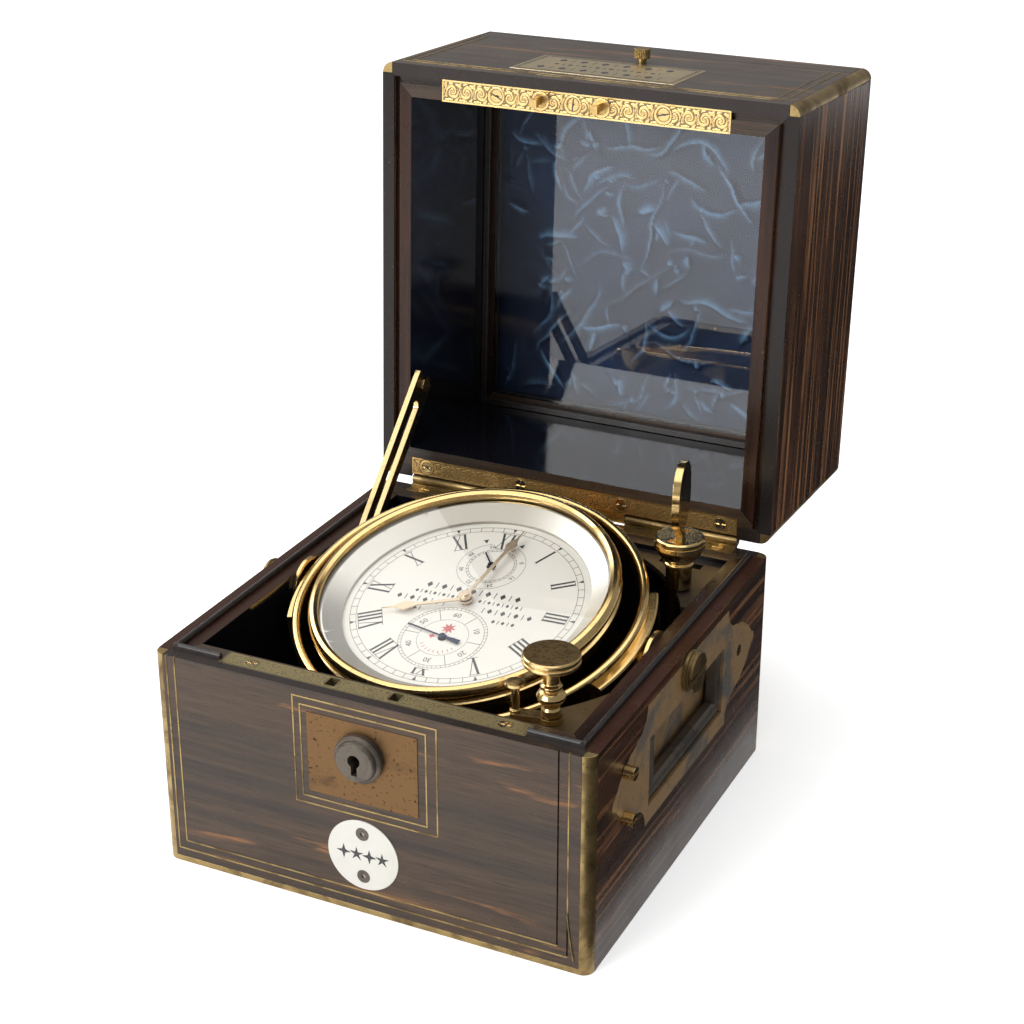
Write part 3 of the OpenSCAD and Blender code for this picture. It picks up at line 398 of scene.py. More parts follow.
def velvet(name):
    """Crushed velvet: dark navy in the hollows, with a painted pale blue sheen along the creases."""
    s = Shader(name)
    point = s.object_point()
    crease_sheen = s.node("Attribute", {"attribute_name": "crease"}).outputs["Fac"]
    pile = s.noise(point, 700.0, 4.0, 0.7)
    cloud = s.noise(point, 22.0, 3.0, 0.5)
    colour = s.mix(s.band(cloud, 0.35, 0.7), (0.006, 0.013, 0.040), (0.012, 0.032, 0.095))
    # painted sheen: pale blue along the creases, frayed by noise
    frayed_sheen = s.math("MULTIPLY", crease_sheen, s.math("ADD", 0.45, s.noise(point, 300.0, 3.0, 0.6)))
    colour = s.mix(s.band(frayed_sheen, 0.05, 0.85), colour, (0.17, 0.31, 0.50))
    colour = s.mix(s.math("MULTIPLY", pile, 0.2), colour, (0.004, 0.008, 0.025))
    return s.surface(
        Base_Color=colour,
        Roughness=0.8,
        Sheen_Weight=0.5,
        Sheen_Tint=(0.35, 0.55, 0.85),
        Sheen_Roughness=0.35,
    )


def ink(name, colour):
    """Printing ink or wax, worn paler in specks."""
    s = Shader(name)
    wear = s.noise(s.object_point(), 1500.0, 3.0, 0.6)
    pale = tuple(min(1.0, channel + 0.10) for channel in colour)
    return s.surface(Base_Color=s.mix(s.band(wear, 0.45, 0.8), colour, pale), Roughness=0.55)


def blued_steel(name):
    s = Shader(name)
    wear = s.noise(s.object_point(), 600.0, 3.0, 0.6)
    colour = s.mix(wear, (0.010, 0.014, 0.035), (0.035, 0.045, 0.085))
    return s.surface(Base_Color=colour, Metallic=1.0, Roughness=0.25)


wood_base = figured_wood("figured_wood_base", False, 0.55, (0.038, 0.015, 0.009))
wood_upper = figured_wood("figured_wood_upper", True, 1.0, (0.014, 0.011, 0.010))
black_wood = ebony("ebony")
bright_brass = brass("lacquered_brass", (0.70, 0.50, 0.22), (0.33, 0.20, 0.07), 0.30, 0.18, 0.35)
stay_brass = brass("stay_brass", (0.70, 0.52, 0.26), (0.30, 0.24, 0.12), 0.30, 0.24, 0.35, EAST)
knob_brass = brass("knob_brass", (0.66, 0.47, 0.21), (0.34, 0.22, 0.09), 0.35, 0.22, 0.5, UP)
hand_gold = brass("pale_gold_hands", (0.66, 0.53, 0.38), (0.46, 0.33, 0.20), 0.25, 0.30, 0.15)
gilt_relief = brass("gilt_relief", (0.74, 0.52, 0.22), (0.46, 0.29, 0.10), 0.35, 0.24, 0.35, hollows=0.82)
leaf_relief = brass("leaf_relief", (0.74, 0.47, 0.17), (0.46, 0.27, 0.09), 0.40, 0.30, 0.40, hollows=0.80)
plate_ground = brass("engraved_ground", (0.50, 0.34, 0.13), (0.22, 0.13, 0.045), 0.5, 0.34, 0.6)
old_brass = brass("patinated_brass", (0.33, 0.235, 0.10), (0.13, 0.085, 0.035), 0.6, 0.36, 0.7)
deck_brass = brass("dusty_deck", (0.16, 0.11, 0.055), (0.07, 0.045, 0.026), 0.6, 0.46, 0.7)
handle_brass = brass(
    "handle_plate_brass", (0.27, 0.165, 0.070), (0.10, 0.088, 0.076), 0.55, 0.46, 0.95, clean=0.35
)
worn_brass = brass("worn_plate_brass", (0.36, 0.29, 0.14), (0.18, 0.14, 0.065), 0.5, 0.38, 0.6, hollows=0.6)
plaque_brass = brass("plaque_brass", (0.58, 0.47, 0.29), (0.36, 0.27, 0.15), 0.4, 0.34, 0.3)
panel_brass = brass("ochre_panel", (0.155, 0.088, 0.040), (0.05, 0.030, 0.017), 0.40, 0.46, 0.95)
bronze = brass("dark_bronze", (0.10, 0.082, 0.064), (0.045, 0.037, 0.030), 0.5, 0.40, 0.5, clean=0.6)
dial_silver = silvered("silvered_dial", (0.70, 0.675, 0.61), 0.42, 0.25)
disc_ivory = silvered("number_disc", (0.56, 0.545, 0.50), 0.5, 0.0)
ring_silver = turned_silver("turned_silver")
pane_glass = clear_glass("pane_glass", (0.93, 0.96, 0.97), 1.3)
dial_glass = clear_glass("dial_glass", (0.99, 0.99, 0.99), 0.9)
blue_velvet = velvet("blue_velvet")
# black ink for the printing, also used as painted shade in the screw slots
black_ink_and_slot_shade = ink("black_ink_and_slot_shade", (0.018, 0.017, 0.018))
red_ink = ink("red_ink", (0.45, 0.09, 0.08))
blue_steel = blued_steel("blued_steel")


# ---- pieces made from the CAD nodes, with softened edges ----


def refined(node, material, bevel=0.2, angle=30):
    """Copy of a CAD node with its flat faces joined, its edges rounded and its curves smooth."""
    source = nodes[node]
    work = bmesh.new()
    work.from_mesh(source.data)
    bmesh.ops.remove_doubles(work, verts=work.verts, dist=2e-6)
    bmesh.ops.dissolve_limit(work, angle_limit=math.radians(0.3), verts=work.verts, edges=work.edges)
    for face in work.faces:
        face.smooth = True
    mesh = bpy.data.meshes.new(node + "_finish")
    work.to_mesh(mesh)
    work.free()
    if "custom_normal" in mesh.attributes:
        mesh.attributes.remove(mesh.attributes["custom_normal"])
    mesh.set_sharp_from_angle(angle=math.radians(angle))
    mesh.materials.clear()
    mesh.materials.append(material)
    piece = bpy.data.objects.new(node + "_finish", mesh)
    scene.collection.objects.link(piece)
    if bevel:
        rounding = piece.modifiers.new("rounding", "BEVEL")
        rounding.width = bevel * MM
        rounding.segments = 2
        rounding.limit_method = "ANGLE"
        rounding.angle_limit = math.radians(angle)
        rounding.harden_normals = True
    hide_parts(node)
    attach(piece, source["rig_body"])


def refine_all(material, bevel, *names):
    for name in names:
        refined(name, material, bevel)


refine_all(wood_base, 0.5, "base_case")
refine_all(wood_upper, 0.5, "middle_case", "top_lid")
refine_all(black_wood, 0.3, "base_bottom", "rim_tongue", "rear_deck", "glass_moulding")
refine_all(
    old_brass, 0.2, "base_edge_strips", "middle_corner_strips", "top_corner_strips", "base_hinge_leaf",
    "gimbal_screws", "release_button",
)
refine_all(deck_brass, 0.2, "front_deck")
refine_all(handle_brass, 0.2, "handle_plate_right", "handle_plate_left")
refine_all(worn_brass, 0.15, "box_lock")
refine_all(plaque_brass, 0.15, "name_plaque")
refine_all(plate_ground, 0.15, "link_plate", "middle_hinge_leaf")
refine_all(panel_brass, 0.15, "lock_panel")
refine_all(bronze, 0.3, "keyhole_cover", "bail_right", "bail_left")
refine_all(disc_ivory, 0.15, "number_disc")
refine_all(old_brass, 0.05, "front_stringing")
refine_all(
    bright_brass, 0.12, "lock_bolt", "base_screws", "gimbal_bushes",
    "key_barrel", "key_handle", "middle_screws",
    "top_hinge_lower", "top_hinge_upper", "gimbal_ring", "gimbal_blocks", "bowl_screws",
    "bowl", "bezel",
)
refine_all(ring_silver, 0.1, "dial_flange")
refine_all(dial_silver, 0.1, "dial")
refine_all(stay_brass, 0.4, "stay_arm")
refine_all(knob_brass, 0.2, "gimbal_lock_knob", "gimbal_lock_lever")
refine_all(hand_gold, 0.05, "hour_hand", "centre_wheel")
refine_all(blue_steel, 0.03, "reserve_hand", "hinge_pin", "fourth_wheel")
refine_all(
    bright_brass, 0.1, "pillar_plate", "top_plate", "balance_cock", "spring_barrel", "fusee", "third_wheel",
    "escape_wheel", "balance_wheel",
)
refine_all(pane_glass, 0, "middle_glass")
refine_all(dial_glass, 0, "crystal")


# ---- small mesh parts: each is (points, faces) in millimetres on a flat face ----


def prism(outline, height):
    """Flat plate with the given outline, counter-clockwise."""
    count = len(outline)
    points = [(x, y, 0) for x, y in outline] + [(x, y, height) for x, y in outline]
    faces = [tuple(range(count, 2 * count)), tuple(reversed(range(count)))]
    for i in range(count):
        j = (i + 1) % count
        faces.append((i, j, count + j, count + i))
    return points, faces


def bar(x0, y0, x1, y1, height):
    return prism([(x0, y0), (x1, y0), (x1, y1), (x0, y1)], height)


def ring(radius, width, height, start=0.0, end=360.0):
    """Flat ring line, or part of one, between two angles."""
    points, faces = [], []
    closed = end - start >= 360
    count = round((end - start) / 3)
    for i in range(count if closed else count + 1):
        angle = math.radians(start + (end - start) * i / count)
        for distance, level in ((radius, 0), (radius, height), (radius + width, height), (radius + width, 0)):
            points.append((distance * math.cos(angle), distance * math.sin(angle), level))
    total = len(points) // 4
    for i in range(count):
        here, there = 4 * i, 4 * ((i + 1) % total)
        for k in range(4):
            faces.append((here + k, here + (k + 1) % 4, there + (k + 1) % 4, there + k))
    return points, faces


def moved(part, x=0.0, y=0.0, turn=0.0):
    """The part turned clockwise by degrees, then shifted."""
    points, faces = part
    c, s = math.cos(math.radians(-turn)), math.sin(math.radians(-turn))
    return [(c * px - s * py + x, s * px + c * py + y, pz) for px, py, pz in points], faces


def mesh_piece(name, points, faces, material, smooth=False):
    """Object with one material, its faces all flat or all smooth."""
    mesh = bpy.data.meshes.new(name)
    mesh.from_pydata(points, [], faces, shade_flat=not smooth)
    mesh.materials.append(material)
    piece = bpy.data.objects.new(name, mesh)
    scene.collection.objects.link(piece)
    return piece


def mark_points(piece, name, values):
    """Stores a number per point for the material to read."""
    layer = piece.data.attributes.new(name, "FLOAT", "POINT")
    layer.data.foreach_set("value", values)


def make_piece(name, parts, place, material, body):
    """One mesh piece from flat parts, put in place by the matrix."""
    points, faces = [], []
    for part_points, part_faces in parts:
        start = len(points)
        points += [place @ Vector(point) for point in part_points]
        faces += [tuple(start + index for index in face) for face in part_faces]
    piece = mesh_piece(name, points, faces, material)
    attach(piece, body)


# ---- dial printing, in millimetres from the middle of the dial ----

INK_H = 0.04
TRACK_IN, TRACK_OUT = 44.0, 46.5
NUMERAL_FOOT, NUMERAL_TOP = 33.6, 43.2
SHORT_FOOT = 39.9  # the VI is cut short by the seconds dial


def stroke(x0, y0, x1, y1, width):
    """Straight printed stroke between two points."""
    dx, dy = x1 - x0, y1 - y0
    length = math.hypot(dx, dy)
    ox, oy = -dy / length * width / 2, dx / length * width / 2
    return prism([(x0 - ox, y0 - oy), (x1 - ox, y1 - oy), (x1 + ox, y1 + oy), (x0 + ox, y0 + oy)], INK_H)


def roman(text, foot, top):
    """Roman numeral that stands from foot to top, centred on x = 0."""
    widths = {"I": 2.0, "V": 4.6, "X": 4.6}
    total = sum(widths[letter] for letter in text)
    left = -total / 2
    thick, thin = 0.95, 0.28
    parts = []
    for letter in text:
        width = widths[letter]
        middle = left + width / 2
        if letter == "I":
            parts.append(stroke(middle, foot, middle, top, thick))
        elif letter == "V":
            parts.append(stroke(left + 0.9, top, middle, foot, thick))
            parts.append(stroke(left + width - 0.6, top, middle, foot, thin))
        else:
            parts.append(stroke(left + 0.9, top, left + width - 0.9, foot, thick))
            parts.append(stroke(left + width - 0.9, top, left + 0.9, foot, thin))
        left += width
    # serifs join the letters along both ends
    parts.append(stroke(-total / 2 + 0.2, top, total / 2 - 0.2, top, 0.22))
    parts.append(stroke(-total / 2 + 0.2, foot, total / 2 - 0.2, foot, 0.22))
    return parts


def figures(text, size):
    """Printed number from the built-in letter shapes, centred on the origin."""
    curve = bpy.data.curves.new("figures", "FONT")
    curve.body = text
    curve.size = size
    curve.align_x = "CENTER"
    curve.align_y = "CENTER"
    curve.resolution_u = 3
    holder = bpy.data.objects.new("figures", curve)
    scene.collection.objects.link(holder)
    mesh = bpy.data.meshes.new_from_object(holder.evaluated_get(bpy.context.evaluated_depsgraph_get()))
    points = [(v.co.x, v.co.y, INK_H) for v in mesh.vertices]
    faces = [tuple(face.vertices) for face in mesh.polygons]
    bpy.data.objects.remove(holder)
    bpy.data.curves.remove(curve)
    bpy.data.meshes.remove(mesh)
    return points, faces


def polar(part, radius, angle, upright=False):
    """Puts a part at a clock angle, feet towards the centre."""
    x = radius * math.sin(math.radians(angle))
    y = radius * math.cos(math.radians(angle))
    return moved(part, x, y, 0 if upright else angle)


def minute_track():
    parts = [ring(radius, 0.16, INK_H) for radius in (TRACK_IN, TRACK_OUT)]
    for minute in range(60):
        parts.append(moved(stroke(0, TRACK_IN, 0, TRACK_OUT + 0.1, 0.2), turn=6 * minute))
    arrow = prism([(0, TRACK_IN + 0.4), (0.75, TRACK_OUT - 0.1), (-0.75, TRACK_OUT - 0.1)], INK_H)
    for hour in range(12):
        parts.append(moved(arrow, turn=30 * hour))
    return parts


def hour_numerals():
    names = ["XII", "I", "II", "III", "IIII", "V", "VI", "VII", "VIII", "IX", "X", "XI"]
    parts = []
    for hour, name in enumerate(names):
        foot = SHORT_FOOT if name == "VI" else NUMERAL_FOOT
        parts += [moved(part, turn=30 * hour) for part in roman(name, foot, NUMERAL_TOP)]
    return parts


def seconds_dial():
    outer, track, inner = 17.5, 16.2, 10.2
    parts = [ring(outer, 0.14, INK_H), ring(track, 0.14, INK_H), ring(inner, 0.12, INK_H)]
    for second in range(60):
        parts.append(moved(stroke(0, track + 0.1, 0, outer, 0.14), turn=6 * second))
    for five in range(12):
        if five % 2:
            parts.append(moved(stroke(0, inner + 0.3, 0, track - 0.1, 0.22), turn=30 * five))
        else:
            parts.append(polar(figures(str(five * 5 or 60), 3.4), 13.2, 30 * five))
    return [moved(part, y=seconds_y) for part in parts]


def reserve_dial():
    """Up-and-down dial, marked in hours since winding."""
    outer, track, inner = 13.9, 10.2, 9.2
    parts = [ring(outer, 0.13, INK_H, 112, 428), ring(track, 0.13, INK_H), ring(inner, 0.13, INK_H)]
    for step in range(8):
        angle = 22.5 + 45 * step
        parts.append(polar(figures(str(8 * step), 2.6), 12.1, angle))
        for quarter in range(4):
            parts.append(moved(stroke(0, inner + 0.1, 0, track, 0.2), turn=angle + 11.25 * quarter))
    # arrowheads for fully wound and run down
    parts.append(polar(prism([(-1.1, -1), (1.1, -1), (0, 1.2)], INK_H), 16.4, 26))
    parts.append(polar(prism([(-1.1, 1), (0, -1.2), (1.1, 1)], INK_H), 16.4, -32))
    return [moved(part, y=reserve_y) for part in parts]


def ornament_row(width, height, y, gap=0):
    """Row of lozenges and bars between two fine lines, with a gap left in the middle."""
    parts = []
    step = height * 0.95
    count = int(width / step)
    for i in range(count):
        x = (i - (count - 1) / 2) * step
        if abs(x) < gap:
            continue
        if i % 2:
            parts.append(stroke(x, y - height / 2, x, y + height / 2, 0.32))
        else:
            r = height * 0.36
            parts.append(prism([(x - r, y), (x, y - height / 2), (x + r, y), (x, y + height / 2)], INK_H))
    return parts


def star(radius, inner, points, height=INK_H):
    outline = []
    for i in range(2 * points):
        r = radius if i % 2 == 0 else inner
        angle = math.pi / 2 + math.pi * i / points
        outline.append((r * math.cos(angle), r * math.sin(angle)))
    return prism(outline, height)


def dial_printing():
    black = minute_track() + hour_numerals() + seconds_dial() + reserve_dial()
    black += ornament_row(42, 3.4, 6.4)
    black += ornament_row(48, 2.1, 1.8, 4)
    black += ornament_row(60, 3.0, -2.8, 6)
    black += [moved(part, x=-18) for part in ornament_row(5, 2.2, -8)]
    black += [moved(part, x=19.5) for part in ornament_row(11, 2.2, -8)]
    make_piece("dial_print", black, DIAL, black_ink_and_slot_shade, "bowl_assembly")
    red = [moved(star(3.2, 1.5, 8), y=seconds_y + 5.4)]
    red += [moved(star(1.6, 0.7, 4), x, seconds_y - 0.2) for x in (-4.6, 4.6)]
    for i in range(9):
        mark = polar(stroke(0, -0.7, 0, 0.7, 0.3), 8.3, 180 + 13 * (i - 4))
        red.append(moved(mark, y=seconds_y))
    make_piece("dial_emblem", red, DIAL, red_ink, "bowl_assembly")


dial_printing()


# ---- engraving ----

PLATE_RISE = 0.2 * MM  # the upper case's plates stand this far out of its rim
LINK_SCREWS = (-38, -4.1, 34.4)
LINK_HOOKS = (-18.4, 8.0)
LEAF_SCREWS = (-68.4, -23.1, 23.8, 68.3)
LOCK_SCREWS = (-51.2, 52.8)
LOCK_HOLES = (-16.7, 9.6)
link_low, link_high = corners_of("link_plate", TO_CLOSED)
link_middle = Vector(((link_low.x + link_high.x) / 2, (link_low.y + link_high.y) / 2, rim_z + PLATE_RISE))
leaf_middle = Vector((0, half - 5.2 * MM, rim_z + PLATE_RISE))


def rib(path, widths, height):
    """Flat-topped ridge along a path; widths gives its half width at each point."""
    points, faces = [], []
    last = len(path) - 1
    for i, (x, y) in enumerate(path):
        before, after = path[max(0, i - 1)], path[min(last, i + 1)]
        dx, dy = after[0] - before[0], after[1] - before[1]
        length = math.hypot(dx, dy) or 1.0
        ox, oy = -dy / length, dx / length
        for across, level in ((-1, 0), (-0.7, 1), (0.7, 1), (1, 0)):
            w = widths[i] * across
            points.append((x + ox * w, y + oy * w, height * level))
    for i in range(last):
        for k in range(3):
            a = 4 * i + k
            faces.append((a, a + 4, a + 5, a + 1))
    return points, faces


def smooth(value, low, high):
    """0 below low, 1 above high, smooth between, for whole arrays."""
    t = np.clip((value - low) / (high - low), 0, 1)
    return t * t * (3 - 2 * t)


def foliage(u, v, width):
    """Height 0 to 1 of running scrollwork: volutes turning alternately, with leaves in the corners."""
    pitch = 0.92 * width
    count = np.floor(u / pitch)
    side = np.where(count % 2 == 0, 1.0, -1.0)
    across = u - (count + 0.5) * pitch
    up = v * side
    radius = np.hypot(across, up) / (0.47 * width) + 1e-4
    angle = np.arctan2(up, across)
    volute = np.cos(2 * angle + 9.5 * np.log(radius + 0.12))
    leaves = np.cos(7 * angle + 7.0 * (radius - 1) * side)
    veins = 0.35 * np.cos(14 * angle - 3 * radius)
    edge = smooth(radius, 0.86, 0.94)
    ridge = volute * (1 - edge) + (leaves + veins) * edge
    ridge = np.where(abs(radius - 0.90) < 0.035, -1.0, ridge)
    return smooth(ridge, -0.62, -0.15)


def engraved_sheet(name, length, width, depth, place, material, body, avoid=()):
    """Chased top skin of a plate; avoid lists (x, radius) of screws and hooks that stay clear."""
    step = 0.24
    lift = 0.01
    columns, rows = int(length / step), int(width / step)
    along = np.linspace(-length / 2, length / 2, columns)
    u, v = np.meshgrid(along, np.linspace(-width / 2, width / 2, rows))
    relief = foliage(u + 3, v, width - 2)
    rim = np.minimum(length / 2 - abs(u), width / 2 - abs(v))
    relief = np.where(rim < 0.95, 0.0, relief)
    relief = np.where(rim < 0.62, 1.0, relief)
    for x, reach in avoid:
        away = np.hypot(u - x, v)
        relief = np.where(away < reach + 0.8, 1.0, np.where(away < reach + 1.2, 0.0, relief))
    heights = lift + depth * relief
    points = [place @ Vector(p) for p in zip(u.ravel(), v.ravel(), heights.ravel())]
    faces = []
    for row in range(rows - 1):
        for column in range(columns - 1):
            x, y = u[row, column], v[row, column]
            if any(math.hypot(x - centre, y) < reach for centre, reach in avoid):
                continue
            a = row * columns + column
            faces.append((a, a + 1, a + columns + 1, a + columns))
    piece = mesh_piece(name, points, faces, material, smooth=True)
    mark_points(piece, "relief", relief.ravel())
    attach(piece, body)


def engrave_link_plate():
    """Bright plate with the two lock hooks."""
    place = TO_OPEN @ frame_at(link_middle, EAST, -BACK)
    length, width = (link_high.x - link_low.x) / MM, (link_high.y - link_low.y) / MM
    clear = [(x, 2.9) for x in LINK_SCREWS] + [(x, 3.0) for x in LINK_HOOKS]
    engraved_sheet(
        "link_plate_scrolls", length, width, 0.08, place, gilt_relief, "middle_tier", clear
    )


def engrave_hinge_leaf():
    """Leaf of the case hinge that shows in the open case."""
    low, high = corners_of("middle_hinge_leaf", TO_CLOSED)
    place = TO_OPEN @ frame_at(leaf_middle, EAST, -BACK)
    clear = [(x, 2.6) for x in LEAF_SCREWS]
    length = (high.x - low.x) / MM
    engraved_sheet(
        "hinge_leaf_scrolls", length, 7.4, 0.06, place, leaf_relief, "middle_tier", clear
    )


def engrave_lock_plate():
    """Plate in the front rim, with a hole for each hook."""
    low, high = corners_of("box_lock")
    middle = Vector(((low.x + high.x) / 2, -half + 8.6 * MM, rim_z))
    place = frame_at(middle, EAST, BACK)
    clear = [(x, 3.4) for x in LOCK_HOLES] + [(x, 2.4) for x in LOCK_SCREWS]
    length = (high.x - low.x) / MM - 2.6
    engraved_sheet(
        "lock_plate_scrolls", length, 7.2, 0.03, place, worn_brass, "bottom_tier", clear
    )


def screw_slots():
    """Black bars as painted shade in the slots of the screws of the link plate, the hinge leaf and the lock
    plate, with a dark ring round each head.
    """
    sill_middle = Vector((0, -half + 8.45 * MM, rim_z))
    rows = (
        ("link", TO_OPEN @ frame_at(link_middle, EAST, -BACK), LINK_SCREWS, 2.5, "middle_tier"),
        ("leaf", TO_OPEN @ frame_at(leaf_middle, EAST, -BACK), LEAF_SCREWS, 2.1, "middle_tier"),
        ("sill", frame_at(sill_middle, EAST, BACK), LOCK_SCREWS, 2.0, "bottom_tier"),
    )
    for name, place, screws, reach, body in rows:
        parts = []
        for i, x in enumerate(screws):
            # painted shade: a flat black bar stands for the slot's depth
            slot = bar(-reach, -0.28, reach, 0.28, 0.05)
            parts.append(moved(slot, x=x, turn=25 + 70 * i))
            parts.append(moved(ring(reach + 0.2, 0.22, 0.04), x=x))
        make_piece(name + "_screw_slots", parts, place, black_ink_and_slot_shade, body)


def plaque_ornament():
    """Plain border with rows of lozenges and bars."""
    low, high = corners_of("name_plaque", TO_CLOSED)
    middle = Vector(((low.x + high.x) / 2, low.y, (low.z + high.z) / 2))
    place = TO_OPEN @ frame_at(middle, EAST, UP)
    wide, tall = (high.x - low.x) / MM, (high.z - low.z) / MM
    parts = []
    for inset in (1.6, 2.6):
        w, h = wide / 2 - inset, tall / 2 - inset
        for x in (-w, w):
            parts.append(bar(x - 0.12, -h, x + 0.12, h, 0.06))
        for y in (-h, h):
            parts.append(bar(-w, y - 0.12, w, y + 0.12, 0.06))
    for y, width, height in ((9.0, 56, 5.0), (0.0, 50, 3.2), (-8.6, 60, 5.0)):
        parts += ornament_row(width, height, y)
    make_piece("plaque_ornament", parts, place, black_ink_and_slot_shade, "middle_tier")


def disc_marks():
    """Row of four plain stars on the round disc, and its two nails."""
    low, high = corners_of("number_disc")
    middle = Vector(((low.x + high.x) / 2, low.y, (low.z + high.z) / 2))
    place = frame_at(middle, EAST, UP)
    marks = [moved(star(3.1, 1.0, 4 + i % 2, 0.05), x=5.4 * (i - 1.5)) for i in range(4)]
    make_piece("disc_marks", marks, place, black_ink_and_slot_shade, "bottom_tier")
    nails = [moved(ring(0.9, 1.8, 0.1), y=y) for y in (-9.2, 9.2)]
    make_piece("disc_nails", nails, place, bronze, "bottom_tier")


def upper_stringing():
    """Brass lines let into the front board of the middle tier."""
    place = TO_OPEN @ frame_at(Vector((0, upper_low.y, rim_z)), EAST, UP)
    top = (seam_z - rim_z) / MM - 0.3
    reach = 0.35
    rise = 0.12
    uprights = ((-84, 6.2), (-80.5, 9.5), (77, 9.5), (81, 9.5))
    rails = ((-80.5, 77, 9.5), (-84, 81, 6.2))
    parts = [bar(x - reach, foot, x + reach, top, rise) for x, foot in uprights]
    parts += [bar(left, foot, right, foot + 2 * reach, rise) for left, right, foot in rails]
    make_piece("upper_stringing", parts, place, old_brass, "middle_tier")


def sprung_line():
    """End of the outer brass line, sprung out of its groove near the foot."""
    place = frame_at(Vector((0, case_low.y, 0)), EAST, UP)
    steps = 12
    path = [(81.0 + 2.6 * (i / steps) ** 1.3, 24.6 - 19 * i / steps) for i in range(steps + 1)]
    parts = [rib(path, [0.3] * (steps + 1), 0.5)]
    make_piece("sprung_line", parts, place, old_brass, "bottom_tier")


sprung_line()
engrave_link_plate()
engrave_hinge_leaf()
engrave_lock_plate()
screw_slots()
plaque_ornament()
disc_marks()
upper_stringing()


# ---- velvet lining ----


def fold_lines(low, high, count):
    """Wandering creases with side branches: each is (points, strength, half width)."""
    stride, gap = 3.2 * MM, 2.4 * MM
    chance = random.Random(11)
    lines, laid = [], []
    for _ in range(count):
        x, y = chance.uniform(low.x, high.x), chance.uniform(low.y, high.y)
        heading = chance.uniform(0, 2 * math.pi)
        strength = chance.uniform(0.45, 1.0)
        for branch in range(chance.choice((1, 2, 2))):
            steps = chance.randint(6, 16)
            path = [(x, y)]
            turn = heading + branch * chance.choice((-1.1, 1.1))
            bend = chance.uniform(-0.16, 0.16)
            for _ in range(steps):
                turn += bend + chance.gauss(0, 0.22)
                last_x, last_y = path[-1]
                path.append((last_x + stride * math.cos(turn), last_y + stride * math.sin(turn)))
                # a crease runs into an older one and stops there
                if any(math.dist(path[-1], point) < gap for point in laid):
                    break
            lines.append((path, strength * (1 - 0.3 * branch), chance.uniform(0.7, 1.8) * MM))
            laid += path
            x, y = path[len(path) // 3]
    return lines


def crumple(x, y, lines):
    """Height of the crushed velvet and the painted sheen along its creases, both 0 to 1, for arrays of
    points.

    Each crease is steep on one side and slopes gently away on the other.
    """
    height, crease = np.zeros_like(x), np.zeros_like(x)
    for path, strength, sharp in lines:
        last = len(path) - 1
        for i in range(last):
            (x0, y0), (x1, y1) = path[i], path[i + 1]
            dx, dy = x1 - x0, y1 - y0
            t = np.clip(((x - x0) * dx + (y - y0) * dy) / (dx * dx + dy * dy), 0, 1)
            ox, oy = x - x0 - t * dx, y - y0 - t * dy
            away = np.hypot(ox, oy)
            steep = (dx * oy - dy * ox) > 0
            taper = strength * np.sin(math.pi * np.clip((i + t) / last, 0.02, 0.98)) ** 0.6
            slope = np.where(steep, np.exp(-((away / (1.3 * MM)) ** 2)), np.exp(-away / (3.6 * MM)))
            height = np.maximum(height, taper * slope)
            # painted sheen: sharp on the steep side of a crease, fading slowly down the gentle side
            sheen_falloff = np.where(steep, np.exp(-((away / (0.45 * sharp)) ** 2)), np.exp(-away / (1.5 * sharp)))
            crease = np.maximum(crease, taper * sheen_falloff)
    return height, crease


def velvet_lining():
    """Crushed velvet over a pad, in the top lid."""
    low, high = corners_of("top_lining", TO_CLOSED)
    steps = 200
    face_z, back_z = low.z, high.z
    room = 4.0 * MM
    tucked = 1 / 14  # share of the width over which the cloth is drawn flat at each edge
    across = np.linspace(low.x, high.x, steps + 1)
    back = np.linspace(low.y, high.y, steps + 1)
    heights, creases = crumple(*np.meshgrid(across, back), fold_lines(low, high, 150))
    points, faces, crease_sheen_points = [], [], []
    for row in range(steps + 1):
        for column in range(steps + 1):
            edge = min(column, row, steps - column, steps - row) / steps
            tuck = min(1.0, edge / tucked)
            z = face_z + room * (1 - heights[row, column] * tuck)
            points.append(TO_OPEN @ Vector((across[column], back[row], z)))
            crease_sheen_points.append(creases[row, column] * tuck)
    for row in range(steps):
        for column in range(steps):
            a = row * (steps + 1) + column
            faces.append((a, a + steps + 1, a + steps + 2, a + 1))
    # backing boards close the pad behind the cloth
    rim = list(range(steps + 1))
    rim += [row * (steps + 1) + steps for row in range(1, steps + 1)]
    rim += [steps * (steps + 1) + column for column in range(steps - 1, -1, -1)]
    rim += [row * (steps + 1) for row in range(steps - 1, 0, -1)]
    start = len(points)
    for index in rim:
        corner = TO_CLOSED @ points[index]
        points.append(TO_OPEN @ Vector((corner.x, corner.y, back_z)))
        crease_sheen_points.append(0.0)
    for i in range(len(rim)):
        j = (i + 1) % len(rim)
        faces.append((rim[i], rim[j], start + j, start + i))
    faces.append(tuple(start + i for i in range(len(rim))))
    piece = mesh_piece("velvet_lining", points, faces, blue_velvet, smooth=True)
    piece.data.polygons[len(faces) - 1].use_smooth = False
    # stores the painted crease sheen for the velvet's colour
    mark_points(piece, "crease", crease_sheen_points)
    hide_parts("top_lining")
    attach(piece, nodes["top_lining"]["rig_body"])


velvet_lining()


# ---- floor, light and camera ----


def stage_plane(name, size, origin, material):
    w, h = size[0] / 2, size[1] / 2
    corners = [(-w, -h, 0), (w, -h, 0), (w, h, 0), (-w, h, 0)]
    plane = mesh_piece(name, corners, [(0, 1, 2, 3)], material)
    plane.location = origin
    return plane


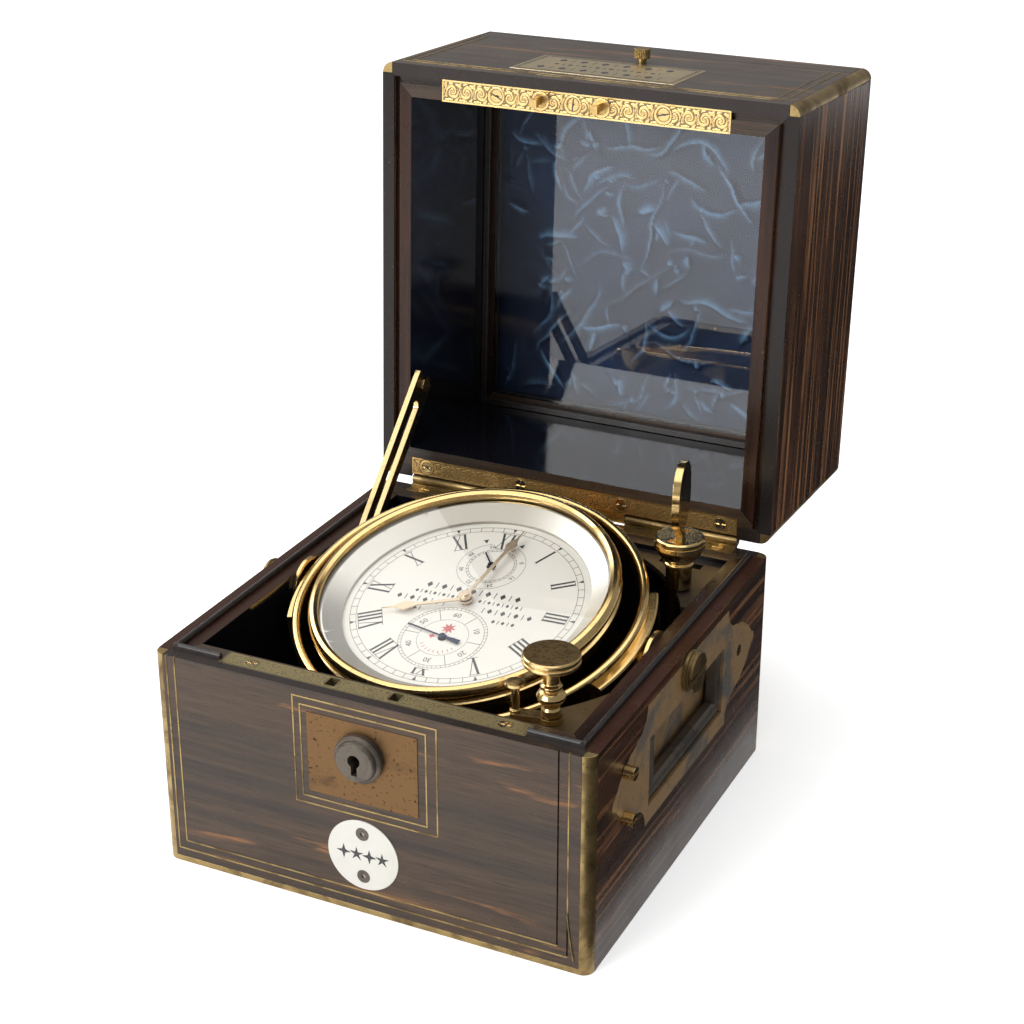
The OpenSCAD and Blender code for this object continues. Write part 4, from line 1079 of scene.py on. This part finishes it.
def plain(name, colour, roughness, glow=0.0):
    """Matt card or floor, with a barely visible mottle and a glow of its own if asked."""
    s = Shader(name)
    speckle = s.noise(s.object_point(), 40.0, 2.0, 0.5)
    near = tuple(channel * 0.99 for channel in colour)
    return s.surface(
        Base_Color=s.mix(speckle, colour, near),
        Roughness=roughness,
        Emission_Color=(1.0, 1.0, 1.0),
        Emission_Strength=glow,
    )


def look_from(position, target):
    direction = Vector(target) - Vector(position)
    return Matrix.Translation(position) @ direction.to_track_quat("-Z", "Y").to_matrix().to_4x4()


def softbox(name, position, target, size, power):
    """Rectangular lamp aimed at a point."""
    lamp = bpy.data.lights.new(name, "AREA")
    lamp.shape = "RECTANGLE"
    lamp.size = size[0]
    lamp.size_y = size[1]
    lamp.energy = power
    holder = bpy.data.objects.new(name, lamp)
    holder.matrix_world = look_from(position, target)
    scene.collection.objects.link(holder)


floor_finish = plain("floor", (0.93, 0.93, 0.93), 0.8, 0.42)
stage_plane("floor", (12, 12), (0, 0, -0.2 * MM), floor_finish)

world = bpy.data.worlds.new("studio")
world.use_nodes = True
sky = world.node_tree.nodes["Background"]
sky.inputs["Color"].default_value = (1.0, 1.0, 1.0, 1)
sky.inputs["Strength"].default_value = 0.32
scene.world = world

softbox("top_light", (-0.25, 0.1, 2.2), (0, 0.05, 0), (3.2, 3.2), 52)
softbox("key_light", (-0.60, -1.30, 0.72), (0, 0.08, 0.12), (0.9, 0.5), 17)
softbox("left_light", (-1.5, 0.2, 1.0), (0, 0, 0.1), (1.0, 0.8), 10)


def flag(name, size, origin):
    """Black card that only shows in reflections, like the dark side of the studio."""
    card = stage_plane(name, size, origin, plain(name, (0.004, 0.004, 0.004), 0.9))
    card.visible_camera = False
    card.visible_diffuse = False
    card.visible_shadow = False
    card.visible_transmission = False


flag("right_flag", (0.9, 1.6), (half + 0.46, 0.45, 0.4 * MM))

camera_data = bpy.data.cameras.new("camera")
camera_data.lens = 74.13
camera_data.sensor_width = 36
camera = bpy.data.objects.new("camera", camera_data)
camera.location = (0.3324, -0.6595, 0.4639)
camera.rotation_euler = (math.radians(90 - 24.41), 0, math.radians(25.63))
scene.collection.objects.link(camera)
scene.camera = camera
scene.view_settings.view_transform = "Standard"

bpy.context.view_layer.update()
